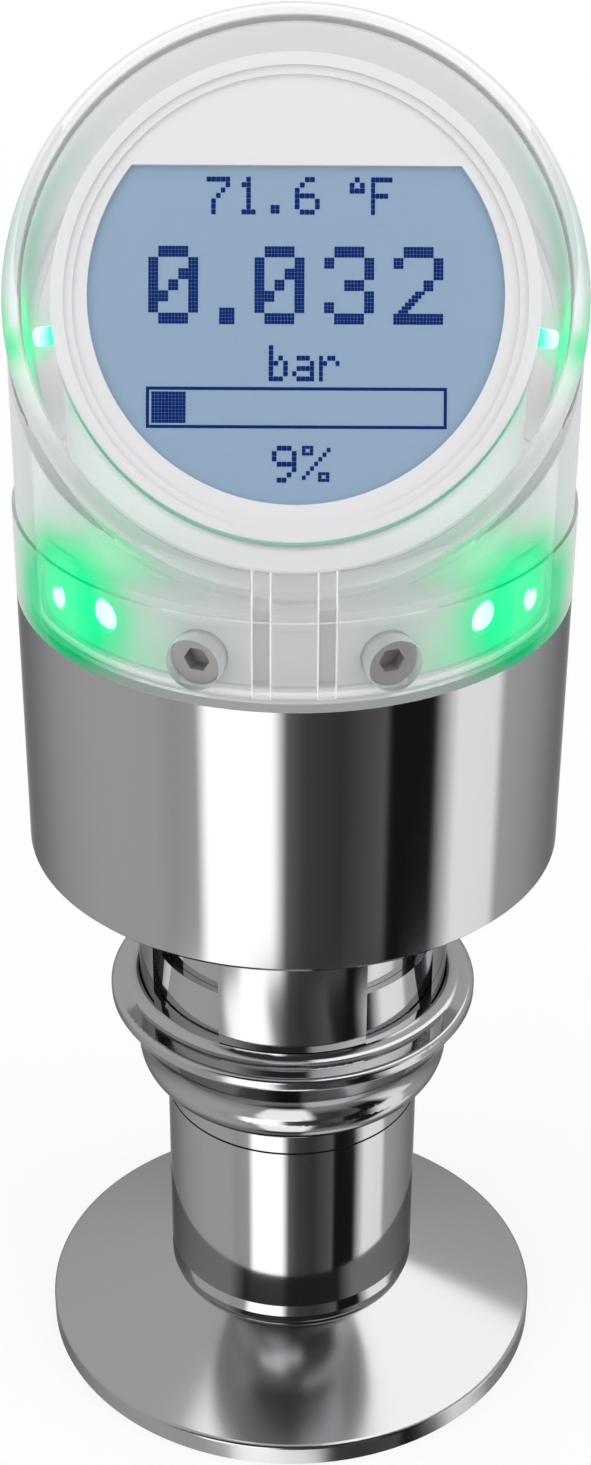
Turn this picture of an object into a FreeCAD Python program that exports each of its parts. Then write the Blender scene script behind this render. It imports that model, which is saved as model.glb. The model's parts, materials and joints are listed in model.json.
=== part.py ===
import FreeCAD, Part
import Sketcher
import os

# Hydrostatic level sensor on a hygienic clamp ferrule.
# Z is up and is the axis of the fitting, z = 0 is the sealing face, and the display looks towards -Y.
# Driving sizes in millimetres and degrees.
SIZES = {
    # clamp ferrule, 2 inch hygienic size
    "rim_radius": 32.0,
    "rim_height": 2.85,
    "rim_round": 0.6,
    "cone_rise": 6.1,
    "hub_inset": 0.7,
    "groove_inset": 3.8,
    "groove_mouth": 1.6,
    "groove_floor": 0.8,
    "groove_depth": 1.4,
    # diaphragm and pressure cell
    "diaphragm_seat": 4.5,
    "diaphragm_recess": 0.5,
    "diaphragm_thickness": 0.25,
    "wave_pitch": 1.5,
    "wave_depth": 0.15,
    "oil_gap": 0.3,
    "stem_wall": 3.4,
    "cell_height": 10.5,
    "cell_shoulder": 3.5,
    "cell_head_height": 2.5,
    "cell_ring_height": 2.4,
    "cell_pin_radius": 0.4,
    "cell_pin_inset": 4.0,
    "cell_pin_length": 6.0,
    "cell_board_height": 1.2,
    # stem and swivel
    "stem_radius": 15.9,
    "stem_length": 28.05,
    "band_height": 2.95,
    "band_step": 0.45,
    "lip_height": 1.2,
    "stem_round": 0.45,
    "chamber_height": 17.0,
    "spigot_wall": 5.0,
    "stem_shoulder": 3.9,
    "spigot_length": 13.0,
    "swivel_fit": 0.05,
    "gasket_height": 0.3,
    "gasket_inset": 0.25,
    "seal_lift": 4.0,
    "seal_groove_width": 2.0,
    "seal_depth": 1.45,
    "seal_radius": 0.68,
    "clip_depth": 0.8,
    "clip_reach": 2.2,
    "clip_height": 1.2,
    "clip_play": 0.2,
    # cup and collar under the housing
    "cup_floor": 9.6,
    "cup_neck": 3.1,
    "bowl_wall": 2.8,
    "bowl_rise": 1.2,
    "bowl_height": 9.8,
    "bowl_round": 4.0,
    "flare_height": 5.2,
    "flare_round": 7.0,
    "ring_wall": 2.2,
    "trough_width": 1.4,
    "ring_height": 1.5,
    "ring_round": 0.6,
    "dish_gap": 0.12,
    "dish_rise": 1.3,
    "dish_width": 0.35,
    "dish_round": 1.5,
    "trough_depth": 2.2,
    "trough_height": 1.3,
    "collar_wall": 2.5,
    "collar_height": 23.8,
    "notch_count": 4,
    "notch_angle": 35.0,
    "notch_lift": 3.3,
    "notch_ramp": 6.2,
    "notch_depth": 0.9,
    "ramp_wall": 0.9,
    "collar_seal_radius": 0.62,
    # steel housing
    "neck_step": 0.7,
    "neck_wall": 1.7,
    "thread_gap": 0.05,
    "housing_radius": 31.6,
    "housing_height": 33.6,
    "housing_chamfer": 0.9,
    "can_wall": 1.7,
    "plate_height": 3.0,
    "ledge_drop": 4.0,
    "cap_ring_wall": 1.9,
    "cap_ring_height": 1.7,
    "cap_clearance": 0.3,
    "cap_seal_lift": 0.25,
    "cap_seal_width": 1.2,
    "cap_seal_depth": 0.9,
    "cap_seal_radius": 0.5,
    # rear connector, M12
    "connector_lift": 16.6,
    "boss_margin": 0.9,
    "boss_depth": 4.1,
    "boss_height": 5.7,
    "thread_step": 0.2,
    "shank_length": 9.0,
    "connector_fit": 0.1,
    "connector_gasket_height": 0.8,
    "flange_step": 2.3,
    "connector_flange_height": 2.2,
    "connector_thread_radius": 6.0,
    "connector_thread_length": 10.0,
    "connector_wall": 1.6,
    "insert_length": 12.5,
    "insert_recess": 8.5,
    "pin_radius": 0.5,
    "pin_inset": 1.8,
    "pin_reach": 6.0,
    "pin_tail": 2.0,
    "nut_wall": 1.7,
    "nut_height": 2.4,
    "vent_radius": 2.5,
    "vent_inset": 3.0,
    "vent_lip": 0.6,
    # main board
    "post_radius": 2.4,
    "post_height": 4.0,
    "post_inset": 5.5,
    "post_count": 3,
    "board_gap": 2.9,
    "board_height": 1.6,
    "board_bore": 6.0,
    "board_screw_radius": 1.25,
    "screw_gap": 0.1,
    "board_screw_head": 2.3,
    "board_screw_head_height": 1.6,
    "board_screw_length": 5.2,
    "header_length": 14.0,
    "header_width": 5.0,
    "header_height": 8.5,
    "header_place": 10.0,
    # clear cap, an upright skirt that turns into a tilted barrel
    "skirt_height": 10.4,
    "skirt_step": 0.4,
    "cap_wall": 2.0,
    "skirt_margin": 2.376,
    "elbow_round": 0.6,
    "face_angle": 58.0,
    "face_lap": 0.46,
    "barrel_step": 1.0,
    "face_round": 2.6,
    "window_wall": 2.2,
    "mitre_drop": 2.4,
    "key_place": 2.5,
    "key_width": 1.8,
    "key_lift": 0.3,
    "key_height": 11.5,
    "key_depth": 1.8,
    "key_root": 0.3,
    "key_gap": 0.15,
    # cap screws and their inserts
    "screw_angle": 19.7,
    "screw_lift": 4.6,
    "screw_bite": 1.2,
    "screw_head_radius": 2.75,
    "screw_head_height": 2.5,
    "screw_socket": 1.25,
    "screw_socket_depth": 1.6,
    "screw_radius": 1.25,
    "screw_length": 4.2,
    "screw_hole_gap": 0.2,
    "insert_wall": 0.6,
    "insert_height": 3.2,
    "insert_drop": 1.0,
    "bush_gap": 0.05,
    # white display carrier
    "carrier_lip": 0.5,
    "carrier_wall": 1.9,
    "carrier_height": 6.8,
    "carrier_flange_height": 1.9,
    "drum_gap": 3.0,
    "ledge_reach": 2.7,
    "display_ledge_height": 1.8,
    # display stack
    "bezel_gap": 0.3,
    "bezel_height": 1.2,
    "bezel_step": 0.35,
    "bezel_rim": 1.3,
    "bezel_tread": 0.9,
    "bezel_width": 3.7,
    "crescent_height": 8.25,
    "aperture_lift": 0.55,
    "stack_gap": 0.4,
    "lcd_height": 1.6,
    "backlight_height": 2.2,
    "display_board_height": 1.6,
    "ledge_inset": 1.1,
    "display_screw_count": 3,
    "display_screw_radius": 0.7,
    "display_screw_head": 1.2,
    "display_screw_head_height": 1.0,
    "display_screw_length": 3.2,
    # status lights
    "led_lift": 5.8,
    "small_led_lift": 5.0,
    "led_radius": 1.9,
    "led_angle": 44.4,
    "small_led_radius": 1.2,
    "small_led_angle": 60.5,
    "led_recess": 0.7,
    "led_gap": 0.1,
    "led_round": 0.7,
    "led_board_width": 3.6,
    "led_board_height": 1.6,
    "side_led_radius": 1.0,
    "side_led_drop": 7.1,
    "side_led_depth": 6.4,
    "side_led_reach": 2.3,
}

# Sizes that follow from the driving ones, as formulas on the sheet
DERIVED = {
    "groove_radius": "rim_radius - groove_inset",
    "hub_radius": "stem_radius - hub_inset",
    "cell_bore": "stem_radius - stem_wall",
    "diaphragm_radius": "cell_bore + diaphragm_seat",
    "wave_radius": "cell_bore - wave_pitch",
    "cell_head_radius": "cell_bore - cell_shoulder",
    "cell_pin_circle": "cell_head_radius - cell_pin_inset",
    "spigot_radius": "stem_radius - stem_shoulder",
    "wire_bore": "spigot_radius - spigot_wall",
    "clip_radius": "spigot_radius + clip_reach",
    "neck_radius": "stem_radius + neck_step",
    "bowl_radius": "neck_radius + bowl_wall",
    "collar_radius": "neck_radius + collar_wall",
    "ring_bore": "collar_radius + trough_width",
    "ring_radius": "ring_bore + ring_wall",
    "dish_bore": "collar_radius + dish_gap",
    "dish_radius": "collar_radius + dish_width",
    "cap_radius": "housing_radius - skirt_step",
    "barrel_radius": "cap_radius - barrel_step",
    "drum_radius": "barrel_radius - cap_wall - drum_gap",
    "carrier_flange_radius": "cap_radius - cap_wall - cap_clearance",
    "carrier_radius": "carrier_flange_radius - carrier_lip",
    "boss_inner_face": "housing_radius - boss_depth",
    "board_radius": "housing_radius - can_wall - board_gap",
    "post_circle": "board_radius - post_inset",
    "vent_place": "board_radius - vent_inset",
    "screw_seat": "carrier_flange_radius - screw_bite",
    "led_root": "drum_radius - carrier_wall + led_gap",
    "led_tip": "carrier_flange_radius - led_recess",
    "side_led_tip": "drum_radius + side_led_reach",
    "display_ledge_bore": "drum_radius - carrier_wall - ledge_reach",
    "display_screw_circle": "display_ledge_bore + ledge_inset",
    "aperture_radius": "drum_radius - bezel_width",
    "aperture_chord": "aperture_radius - crescent_height",
    "bezel_step_radius": "drum_radius - bezel_rim",
    "bezel_inner_step_radius": "bezel_step_radius - bezel_tread",
    "face_reach": "barrel_radius * tan(face_angle / 2) + face_lap",
    "elbow_height": "skirt_height + skirt_margin + cap_radius * tan(face_angle / 2)",
    "shank_radius": "connector_thread_radius - thread_step",
    "connector_bore": "connector_thread_radius - connector_wall",
    "insert_radius": "connector_bore - connector_fit",
    "connector_flange_radius": "connector_thread_radius + flange_step",
    "boss_radius": "connector_flange_radius + boss_margin",
    "nut_flat": "shank_radius + nut_wall",
    "pin_circle": "insert_radius - pin_inset",
}

# Heights that several pieces share, as sums of driving sizes
FERRULE_TOP = "rim_height + cone_rise"
CELL_BASE = "diaphragm_recess + oil_gap"
CELL_TOP = CELL_BASE + " + cell_height"
CELL_HEAD_TOP = CELL_TOP + " + cell_head_height"
CELL_PIN_TOP = CELL_HEAD_TOP + " + cell_pin_length"
CHAMBER_TOP = FERRULE_TOP + " + chamber_height"
STEM_BAND = FERRULE_TOP + " + band_height"
STEM_TOP = FERRULE_TOP + " + stem_length"
SPIGOT_TOP = STEM_TOP + " + spigot_length"
SEAL_BASE = STEM_TOP + " + seal_lift"
SEAL_TOP = SEAL_BASE + " + seal_groove_width"
CUP_BASE = STEM_TOP + " + gasket_height"
CUP_NECK = CUP_BASE + " + cup_neck"
CUP_FLOOR = CUP_BASE + " + cup_floor"
CLIP_BASE = CUP_FLOOR + " + clip_play"
CLIP_TOP = CLIP_BASE + " + clip_height"
BOWL_TOP = CUP_BASE + " + bowl_height"
FLARE_TOP = BOWL_TOP + " + flare_height"
RING_TOP = FLARE_TOP + " + ring_height"
TROUGH = RING_TOP + " - trough_depth"
NOTCH_FOOT = TROUGH + " + notch_lift"
HOUSING_BASE = TROUGH + " + collar_height"
PLATE_TOP = HOUSING_BASE + " + plate_height"
HOUSING_TOP = HOUSING_BASE + " + housing_height"
LEDGE = HOUSING_TOP + " - ledge_drop"
CAP_RING_TOP = HOUSING_TOP + " + cap_ring_height"
CAP_SEAL_BASE = HOUSING_TOP + " + cap_seal_lift"
CAP_SEAL_TOP = CAP_SEAL_BASE + " + cap_seal_width"
CONNECTOR_HEIGHT = HOUSING_BASE + " + connector_lift"
BOARD_BASE = PLATE_TOP + " + post_height"
BOARD_TOP = BOARD_BASE + " + board_height"
KEY_FOOT = CAP_RING_TOP + " + key_lift"
KEY_TOP = KEY_FOOT + " + key_height"
ELBOW = HOUSING_TOP + " + elbow_height"
CARRIER_FLANGE = CAP_RING_TOP + " + carrier_height"
CARRIER_FLANGE_TOP = CARRIER_FLANGE + " + carrier_flange_height"
SCREW_HEIGHT = HOUSING_TOP + " + screw_lift"
LED_HEIGHT = HOUSING_TOP + " + led_lift"
SMALL_LED_HEIGHT = HOUSING_TOP + " + small_led_lift"

# Depths along the display's own axis, from the elbow to the window
BEZEL_FRONT = "face_reach - window_wall - bezel_gap"
DRUM_FRONT = BEZEL_FRONT + " - bezel_height"
LCD_BACK = DRUM_FRONT + " - lcd_height"
BACKLIGHT_BACK = LCD_BACK + " - backlight_height"
DISPLAY_LEDGE = BACKLIGHT_BACK + " - display_board_height"
DISPLAY_LEDGE_BACK = DISPLAY_LEDGE + " - display_ledge_height"
SIDE_LED_DEPTH = "face_reach - side_led_depth"

# Radii that two pieces share
CAP_BORE = "cap_radius - cap_wall"
CAP_RING = "cap_radius - cap_wall - cap_clearance"
DRUM_BORE = "drum_radius - carrier_wall"
STACK_RADIUS = "drum_radius - carrier_wall - stack_gap"

V = FreeCAD.Vector
ALONG_X = V(1, 0, 0)
ALONG_Y = V(0, 1, 0)
ALONG_Z = V(0, 0, 1)

doc = FreeCAD.newDocument("level_sensor")
sheet = doc.addObject("Spreadsheet::Sheet", "Sizes")
for row, name in enumerate([*SIZES, *DERIVED], start=1):
    sheet.set("A%d" % row, name)
    sheet.setAlias("B%d" % row, name)
    if name in SIZES:
        sheet.set("B%d" % row, str(SIZES[name]))
for name, words in DERIVED.items():
    sheet.set(sheet.getCellFromAlias(name), "=" + words)
doc.recompute()

pieces = []


def size(name):
    """The number in the sheet's cell of that name."""
    return float(sheet.get(name))


def amount(words):
    """The number that a sum of sizes such as 'rim_height + cone_rise' comes to."""
    total = 0.0
    sign = 1
    for word in words.split():
        if word in "+-":
            sign = 1 if word == "+" else -1
        elif word != "0":
            total += sign * size(word)
    return total


def formula(words):
    """The same sum as an expression on the sheet."""
    return " ".join(word if word in "+-0" else "Sizes." + word for word in words.split())


def new_body(label):
    body = doc.addObject("PartDesign::Body", label)
    body.Label = label
    return body


def keep(piece):
    """Marks a finished object as a sub-part of the sensor."""
    pieces.append(piece)
    return piece


def origin_plane(body, role):
    return next(part for part in body.Origin.OriginFeatures if part.Role == role)


def attach(body, item, support, lift="0", turn_axis=None, turn=None):
    """Lays a sketch or datum plane on a plane, raised along its normal and turned about an axis."""
    item.AttachmentSupport = [(support, "")]
    item.MapMode = "FlatFace"
    if lift != "0":
        item.setExpression("AttachmentOffset.Base.z", formula(lift))
    if turn_axis:
        item.AttachmentOffset = FreeCAD.Placement(V(0, 0, amount(lift)), FreeCAD.Rotation(turn_axis, 1.0))
        item.setExpression("AttachmentOffset.Rotation.Angle", turn)
    doc.recompute()


def new_sketch(body, name, support, lift="0", turn_axis=None, turn=None):
    sketch = body.newObject("Sketcher::SketchObject", name)
    attach(body, sketch, support, lift, turn_axis, turn)
    return sketch


def new_datum(body, name, lift, turn):
    """A datum plane on the Z axis at a height, leaned back about X."""
    datum = body.newObject("PartDesign::Plane", name)
    attach(body, datum, origin_plane(body, "XY_Plane"), lift, ALONG_X, turn)
    return datum


def pin_point(sketch, line, end, across, up):
    """Fixes one end of a line at two sums of sizes."""
    for kind, words, axis in (("DistanceX", across, -2), ("DistanceY", up, -1)):
        if words == "0":
            sketch.addConstraint(Sketcher.Constraint("PointOnObject", line, end, axis))
            continue
        number = sketch.addConstraint(Sketcher.Constraint(kind, -1, 1, line, end, amount(words)))
        label = "%s_%d_%d" % (kind, line, end)
        sketch.renameConstraint(number, label)
        sketch.setExpression("Constraints." + label, formula(words))


def draw_outline(sketch, points):
    """A closed run of straight lines through points given as sums of sizes."""
    spots = [V(amount(across), amount(up), 0) for across, up in points]
    first = sketch.GeometryCount
    count = len(points)
    for index in range(count):
        sketch.addGeometry(Part.LineSegment(spots[index], spots[(index + 1) % count]), False)
    for index in range(count):
        after = first + (index + 1) % count
        sketch.addConstraint(Sketcher.Constraint("Coincident", first + index, 2, after, 1))
    for index, (across, up) in enumerate(points):
        pin_point(sketch, first + index, 1, across, up)


def draw_circle(sketch, radius, across="0", up="0"):
    """A circle whose radius and centre are sums of sizes."""
    spot = V(amount(across), amount(up), 0)
    number = sketch.addGeometry(Part.Circle(spot, ALONG_Z, amount(radius)), False)
    pin_point(sketch, number, 3, across, up)
    place = sketch.addConstraint(Sketcher.Constraint("Radius", number, amount(radius)))
    label = "Radius_%d" % number
    sketch.renameConstraint(place, label)
    sketch.setExpression("Constraints." + label, formula(radius))


def revolve(body, name, points):
    """A turned solid about Z from its half section in the XZ plane."""
    sketch = new_sketch(body, name + "_section", origin_plane(body, "XZ_Plane"))
    draw_outline(sketch, points)
    feature = body.newObject("PartDesign::Revolution", name)
    feature.Profile = sketch
    feature.ReferenceAxis = (sketch, ["V_Axis"])
    feature.Angle = 360
    doc.recompute()
    return feature


def extrude(body, name, kind, sketch, length=None, stop=None, backwards=False, both_ways=False):
    """A Pad or Pocket of a sketch, to a length or up to a datum plane."""
    feature = body.newObject("PartDesign::" + kind, name)
    feature.Profile = sketch
    if stop:
        feature.Type = "UpToFace"
        feature.UpToFace = (stop, [""])
    else:
        feature.setExpression("Length", formula(length))
    feature.Midplane = both_ways
    feature.Reversed = backwards
    doc.recompute()
    return feature


def circle_edges(feature, radius, height=None):
    """Names of the feature's round edges about its axis with a radius, at a height if one is given."""
    names = []
    for number, edge in enumerate(feature.Shape.Edges, start=1):
        if not isinstance(edge.Curve, Part.Circle):
            continue
        if abs(edge.Curve.Radius - radius) > 0.001:
            continue
        if height is not None and abs(edge.Curve.Center.z - height) > 0.001:
            continue
        names.append("Edge%d" % number)
    return names


def soften(body, name, kind, edges, reach):
    """A Fillet or Chamfer on the body's last feature."""
    feature = body.newObject("PartDesign::" + kind, name)
    feature.Base = (body.Tip if body.Tip != feature else feature.BaseFeature, edges)
    feature.setExpression("Radius" if kind == "Fillet" else "Size", formula(reach))
    doc.recompute()
    return feature


def turned(label, points):
    """A whole sub-part that is turned about Z."""
    body = new_body(label)
    revolve(body, label + "_turning", points)
    return keep(body)


def tube(label, bore, radius, base, top):
    """A turned ring or washer."""
    return turned(label, [(bore, base), (radius, base), (radius, top), (bore, top)])


def disc(label, radius, base, top):
    """A plain round plate."""
    return tube(label, "0", radius, base, top)


def seal_ring(label, ring, section, height):
    """A round seal about Z."""
    seal = doc.addObject("Part::Torus", label)
    seal.Label = label
    seal.setExpression("Radius1", formula(ring))
    seal.setExpression("Radius2", formula(section))
    seal.setExpression("Placement.Base.z", formula(height))
    doc.recompute()
    return keep(seal)


def lean(body):
    """Sets a body on the elbow with its own Z along the display's axis."""
    body.Placement = FreeCAD.Placement(V(0, 0, amount(ELBOW)), FreeCAD.Rotation(ALONG_X, 1.0))
    body.setExpression("Placement.Base.z", formula(ELBOW))
    body.setExpression("Placement.Rotation.Angle", "Sizes.face_angle")
    doc.recompute()


def group(label, pattern, places):
    """One sub-part of equal solids, each a copy of a pattern piece at a placement."""
    copies = []
    for place in places:
        copy = pattern.Shape.copy()
        copy.Placement = place
        copies.append(copy)
    piece = doc.addObject("Part::Feature", label)
    piece.Label = label
    piece.Shape = Part.makeCompound(copies)
    pieces.append(piece)
    if pattern in pieces:
        pieces.remove(pattern)
    return piece


def round_places(count, radius, height):
    """Upright placements spread evenly on a circle about Z."""
    places = []
    for index in range(int(size(count))):
        turn = FreeCAD.Rotation(ALONG_Z, 360.0 / size(count) * index)
        places.append(FreeCAD.Placement(turn.multVec(V(0, -amount(radius), amount(height))), turn))
    return places


def spread_round(body, name, feature, sketch, count, axis="N_Axis"):
    """Repeats a feature evenly about an axis of a sketch."""
    pattern = body.newObject("PartDesign::PolarPattern", name)
    pattern.Originals = [feature]
    pattern.Axis = (sketch, [axis])
    pattern.Angle = 360
    pattern.setExpression("Occurrences", formula(count))
    body.Tip = pattern
    doc.recompute()


def drill_round(body, name, radius, circle, count, base, length):
    """Holes on a circle about Z, cut upwards from a height."""
    sketch = new_sketch(body, name + "_circle", origin_plane(body, "XY_Plane"), base)
    draw_circle(sketch, radius, "0", "0 - " + circle)
    hole = extrude(body, name, "Pocket", sketch, length, backwards=True)
    spread_round(body, name + "s", hole, sketch, count)


def make_ferrule():
    body = turned("clamp_ferrule", [
        ("cell_bore", "diaphragm_recess"),
        ("diaphragm_radius + stack_gap", "diaphragm_recess"),
        ("diaphragm_radius + stack_gap", "0"),
        ("groove_radius - groove_mouth", "0"),
        ("groove_radius - groove_floor", "groove_depth"),
        ("groove_radius + groove_floor", "groove_depth"),
        ("groove_radius + groove_mouth", "0"),
        ("rim_radius", "0"),
        ("rim_radius", "rim_height"),
        ("hub_radius", FERRULE_TOP),
        ("cell_bore", FERRULE_TOP),
    ])
    edges = circle_edges(body.Tip, size("rim_radius"), size("rim_height"))
    soften(body, "rim_edge", "Fillet", edges, "rim_round")


def make_diaphragm():
    """A thin welded membrane with ring corrugations, just clear of the sealing face."""
    top = "diaphragm_recess"
    bottom = "diaphragm_recess - diaphragm_thickness"
    under = [("0", bottom)]
    over = [("0", top)]
    for wave in range(3):
        trough = "wave_radius" + " - wave_pitch" * (5 - 2 * wave)
        crest = "wave_radius" + " - wave_pitch" * (4 - 2 * wave)
        under += [(trough, bottom), (crest, bottom + " - wave_depth")]
        over += [(trough, top), (crest, top + " - wave_depth")]
    last = "wave_radius + wave_pitch"
    under += [(last, bottom), ("diaphragm_radius", bottom)]
    over += [(last, top), ("diaphragm_radius", top)]
    turned("sensing_diaphragm", under + over[::-1])


def make_pressure_cell():
    turned("pressure_cell", [
        ("0", CELL_BASE),
        ("cell_bore - thread_gap", CELL_BASE),
        ("cell_bore - thread_gap", CELL_TOP),
        ("cell_head_radius", CELL_TOP),
        ("cell_head_radius", CELL_HEAD_TOP),
        ("0", CELL_HEAD_TOP),
    ])
    ring_top = CELL_TOP + " + cell_ring_height"
    tube("cell_ring", "cell_head_radius + screw_gap", "cell_bore - thread_gap", CELL_TOP, ring_top)
    pin = disc("cell_pin", "cell_pin_radius", "0", "cell_pin_length")
    pin_turns = [FreeCAD.Rotation(ALONG_Z, angle) for angle in (45.0, 135.0, 225.0, 315.0)]
    reach = V(size("cell_pin_circle"), 0, amount(CELL_HEAD_TOP))
    group("cell_pins", pin, [FreeCAD.Placement(turn.multVec(reach), turn) for turn in pin_turns])
    disc("cell_board", "cell_bore - screw_gap", CELL_PIN_TOP, CELL_PIN_TOP + " + cell_board_height")


def make_stem():
    groove = "spigot_radius - seal_depth"
    clip_groove = "spigot_radius - clip_depth"
    body = turned("process_stem", [
        ("cell_bore", FERRULE_TOP),
        ("stem_radius", FERRULE_TOP),
        ("stem_radius", FERRULE_TOP + " + lip_height"),
        ("stem_radius - band_step", STEM_BAND),
        ("stem_radius", STEM_BAND),
        ("stem_radius", STEM_TOP),
        ("spigot_radius", STEM_TOP),
        ("spigot_radius", SEAL_BASE),
        (groove, SEAL_BASE),
        (groove, SEAL_TOP),
        ("spigot_radius", SEAL_TOP),
        ("spigot_radius", CLIP_BASE),
        (clip_groove, CLIP_BASE),
        (clip_groove, CLIP_TOP),
        ("spigot_radius", CLIP_TOP),
        ("spigot_radius", SPIGOT_TOP),
        ("wire_bore", SPIGOT_TOP),
        ("wire_bore", CHAMBER_TOP),
        ("cell_bore", CHAMBER_TOP),
    ])
    edges = circle_edges(body.Tip, size("stem_radius"), amount(FERRULE_TOP))
    soften(body, "stem_foot", "Fillet", edges, "stem_round")


def make_swivel():
    tube("swivel_gasket", "spigot_radius + screw_gap", "stem_radius - gasket_inset", STEM_TOP, CUP_BASE)
    seal_ring("swivel_seal", "spigot_radius - seal_radius", "seal_radius", SEAL_BASE + " + seal_radius")
    tube("swivel_clip", "spigot_radius - clip_depth + swivel_fit", "clip_radius", CLIP_BASE, CLIP_TOP)


def make_cup():
    bore = "spigot_radius + swivel_fit"
    body = turned("swivel_cup", [
        (bore, CUP_BASE),
        ("stem_radius", CUP_BASE),
        ("stem_radius", CUP_NECK),
        ("bowl_radius", CUP_NECK + " + bowl_rise"),
        ("bowl_radius", BOWL_TOP),
        ("ring_radius", FLARE_TOP),
        ("ring_radius", RING_TOP),
        ("dish_radius", RING_TOP),
        ("dish_bore", RING_TOP + " + dish_rise"),
        ("dish_bore", TROUGH + " + trough_height"),
        ("ring_bore", TROUGH + " + trough_height"),
        ("ring_bore", TROUGH),
        ("neck_radius + thread_gap", TROUGH),
        ("neck_radius + thread_gap", CUP_FLOOR),
        (bore, CUP_FLOOR),
    ])
    bowl = circle_edges(body.Tip, size("bowl_radius"), amount(CUP_NECK + " + bowl_rise"))
    soften(body, "bowl_edge", "Fillet", bowl, "bowl_round")
    soften(body, "ring_edges", "Fillet", circle_edges(body.Tip, size("ring_radius")), "ring_round")
    dish = circle_edges(body.Tip, size("dish_radius"), amount(RING_TOP))
    soften(body, "dish_foot", "Fillet", dish, "dish_round")
    flare = circle_edges(body.Tip, size("bowl_radius"), amount(BOWL_TOP))
    soften(body, "flare_foot", "Fillet", flare, "flare_round")


def make_collar():
    """A collar with spanner notches: a steep ramp at the foot and an open top."""
    bore = "neck_radius + thread_gap"
    body = new_body("lock_collar")
    revolve(body, "collar_ring", [
        (bore, TROUGH),
        ("collar_radius", TROUGH),
        ("collar_radius", HOUSING_BASE),
        (bore, HOUSING_BASE),
    ])
    sketch = new_sketch(body, "notch_section", origin_plane(body, "YZ_Plane"), "0",
                        ALONG_Y, "180 / Sizes.notch_count")
    outside = "collar_radius + notch_lift"
    draw_outline(sketch, [
        ("collar_radius - notch_depth", NOTCH_FOOT),
        (outside, NOTCH_FOOT),
        (outside, HOUSING_BASE + " + notch_lift"),
        (bore + " - neck_wall", HOUSING_BASE + " + notch_lift"),
        (bore + " - neck_wall", NOTCH_FOOT + " + notch_ramp"),
        (bore + " + ramp_wall", NOTCH_FOOT + " + notch_ramp"),
    ])
    notch = body.newObject("PartDesign::Groove", "notch")
    notch.Profile = sketch
    notch.ReferenceAxis = (sketch, ["V_Axis"])
    notch.Midplane = True
    notch.setExpression("Angle", formula("notch_angle"))
    body.Tip = notch
    doc.recompute()
    spread_round(body, "notches", notch, sketch, "notch_count", "V_Axis")
    keep(body)
    ring = "collar_radius + collar_seal_radius + swivel_fit"
    seal_ring("collar_seal", ring, "collar_seal_radius", TROUGH + " + collar_seal_radius")


def make_housing():
    """The steel can on its welded neck, with the cap's ring and a flat boss for the rear connector."""
    tube("housing_neck", "neck_radius - neck_wall", "neck_radius", CUP_FLOOR, HOUSING_BASE)
    wall = "housing_radius - can_wall"
    ring_bore = CAP_RING + " - cap_ring_wall"
    body = new_body("housing_can")
    revolve(body, "can", [
        ("neck_radius - neck_wall", HOUSING_BASE),
        ("housing_radius", HOUSING_BASE),
        ("housing_radius", HOUSING_TOP),
        (CAP_RING, HOUSING_TOP),
        (CAP_RING, CAP_SEAL_BASE),
        (CAP_RING + " - cap_seal_depth", CAP_SEAL_BASE),
        (CAP_RING + " - cap_seal_depth", CAP_SEAL_TOP),
        (CAP_RING, CAP_SEAL_TOP),
        (CAP_RING, CAP_RING_TOP),
        (ring_bore, CAP_RING_TOP),
        (ring_bore, LEDGE),
        (wall, LEDGE),
        (wall, PLATE_TOP),
        ("neck_radius - neck_wall", PLATE_TOP),
    ])
    foot = circle_edges(body.Tip, size("housing_radius"), amount(HOUSING_BASE))
    soften(body, "can_foot", "Chamfer", foot, "housing_chamfer")
    rear = origin_plane(body, "XZ_Plane")
    boss = new_sketch(body, "boss_circle", rear, "0 - boss_inner_face")
    draw_circle(boss, "boss_radius", "0", CONNECTOR_HEIGHT)
    extrude(body, "boss", "Pad", boss, "boss_height", backwards=True)
    bore = new_sketch(body, "boss_bore_circle", rear, "0 - boss_inner_face")
    draw_circle(bore, "shank_radius + connector_fit", "0", CONNECTOR_HEIGHT)
    extrude(body, "boss_bore", "Pocket", bore, "boss_height")
    vent = new_sketch(body, "vent_circle", origin_plane(body, "XY_Plane"), HOUSING_BASE)
    draw_circle(vent, "vent_radius + bush_gap", "0", "vent_place")
    extrude(body, "vent_hole", "Pocket", vent, "plate_height", backwards=True)
    keep(body)
    ring = CAP_RING + " - cap_seal_depth + cap_seal_radius + bush_gap"
    seal_ring("cap_seal", ring, "cap_seal_radius", CAP_SEAL_BASE + " + cap_seal_radius + bush_gap")


def make_vent():
    """A porous plug that lets the cell's reference side breathe."""
    body = disc("vent_filter", "vent_radius", "vent_lip", "plate_height")
    body.setExpression("Placement.Base.y", formula("vent_place"))
    body.setExpression("Placement.Base.z", formula(HOUSING_BASE))


def face_rear(body):
    """Sets a body on the connector boss with its own Z pointing to the rear."""
    body.Placement = FreeCAD.Placement(V(0, 0, 0), FreeCAD.Rotation(ALONG_X, -90))
    body.setExpression("Placement.Base.y", formula("boss_inner_face + boss_height"))
    body.setExpression("Placement.Base.z", formula(CONNECTOR_HEIGHT))
    doc.recompute()


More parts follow.
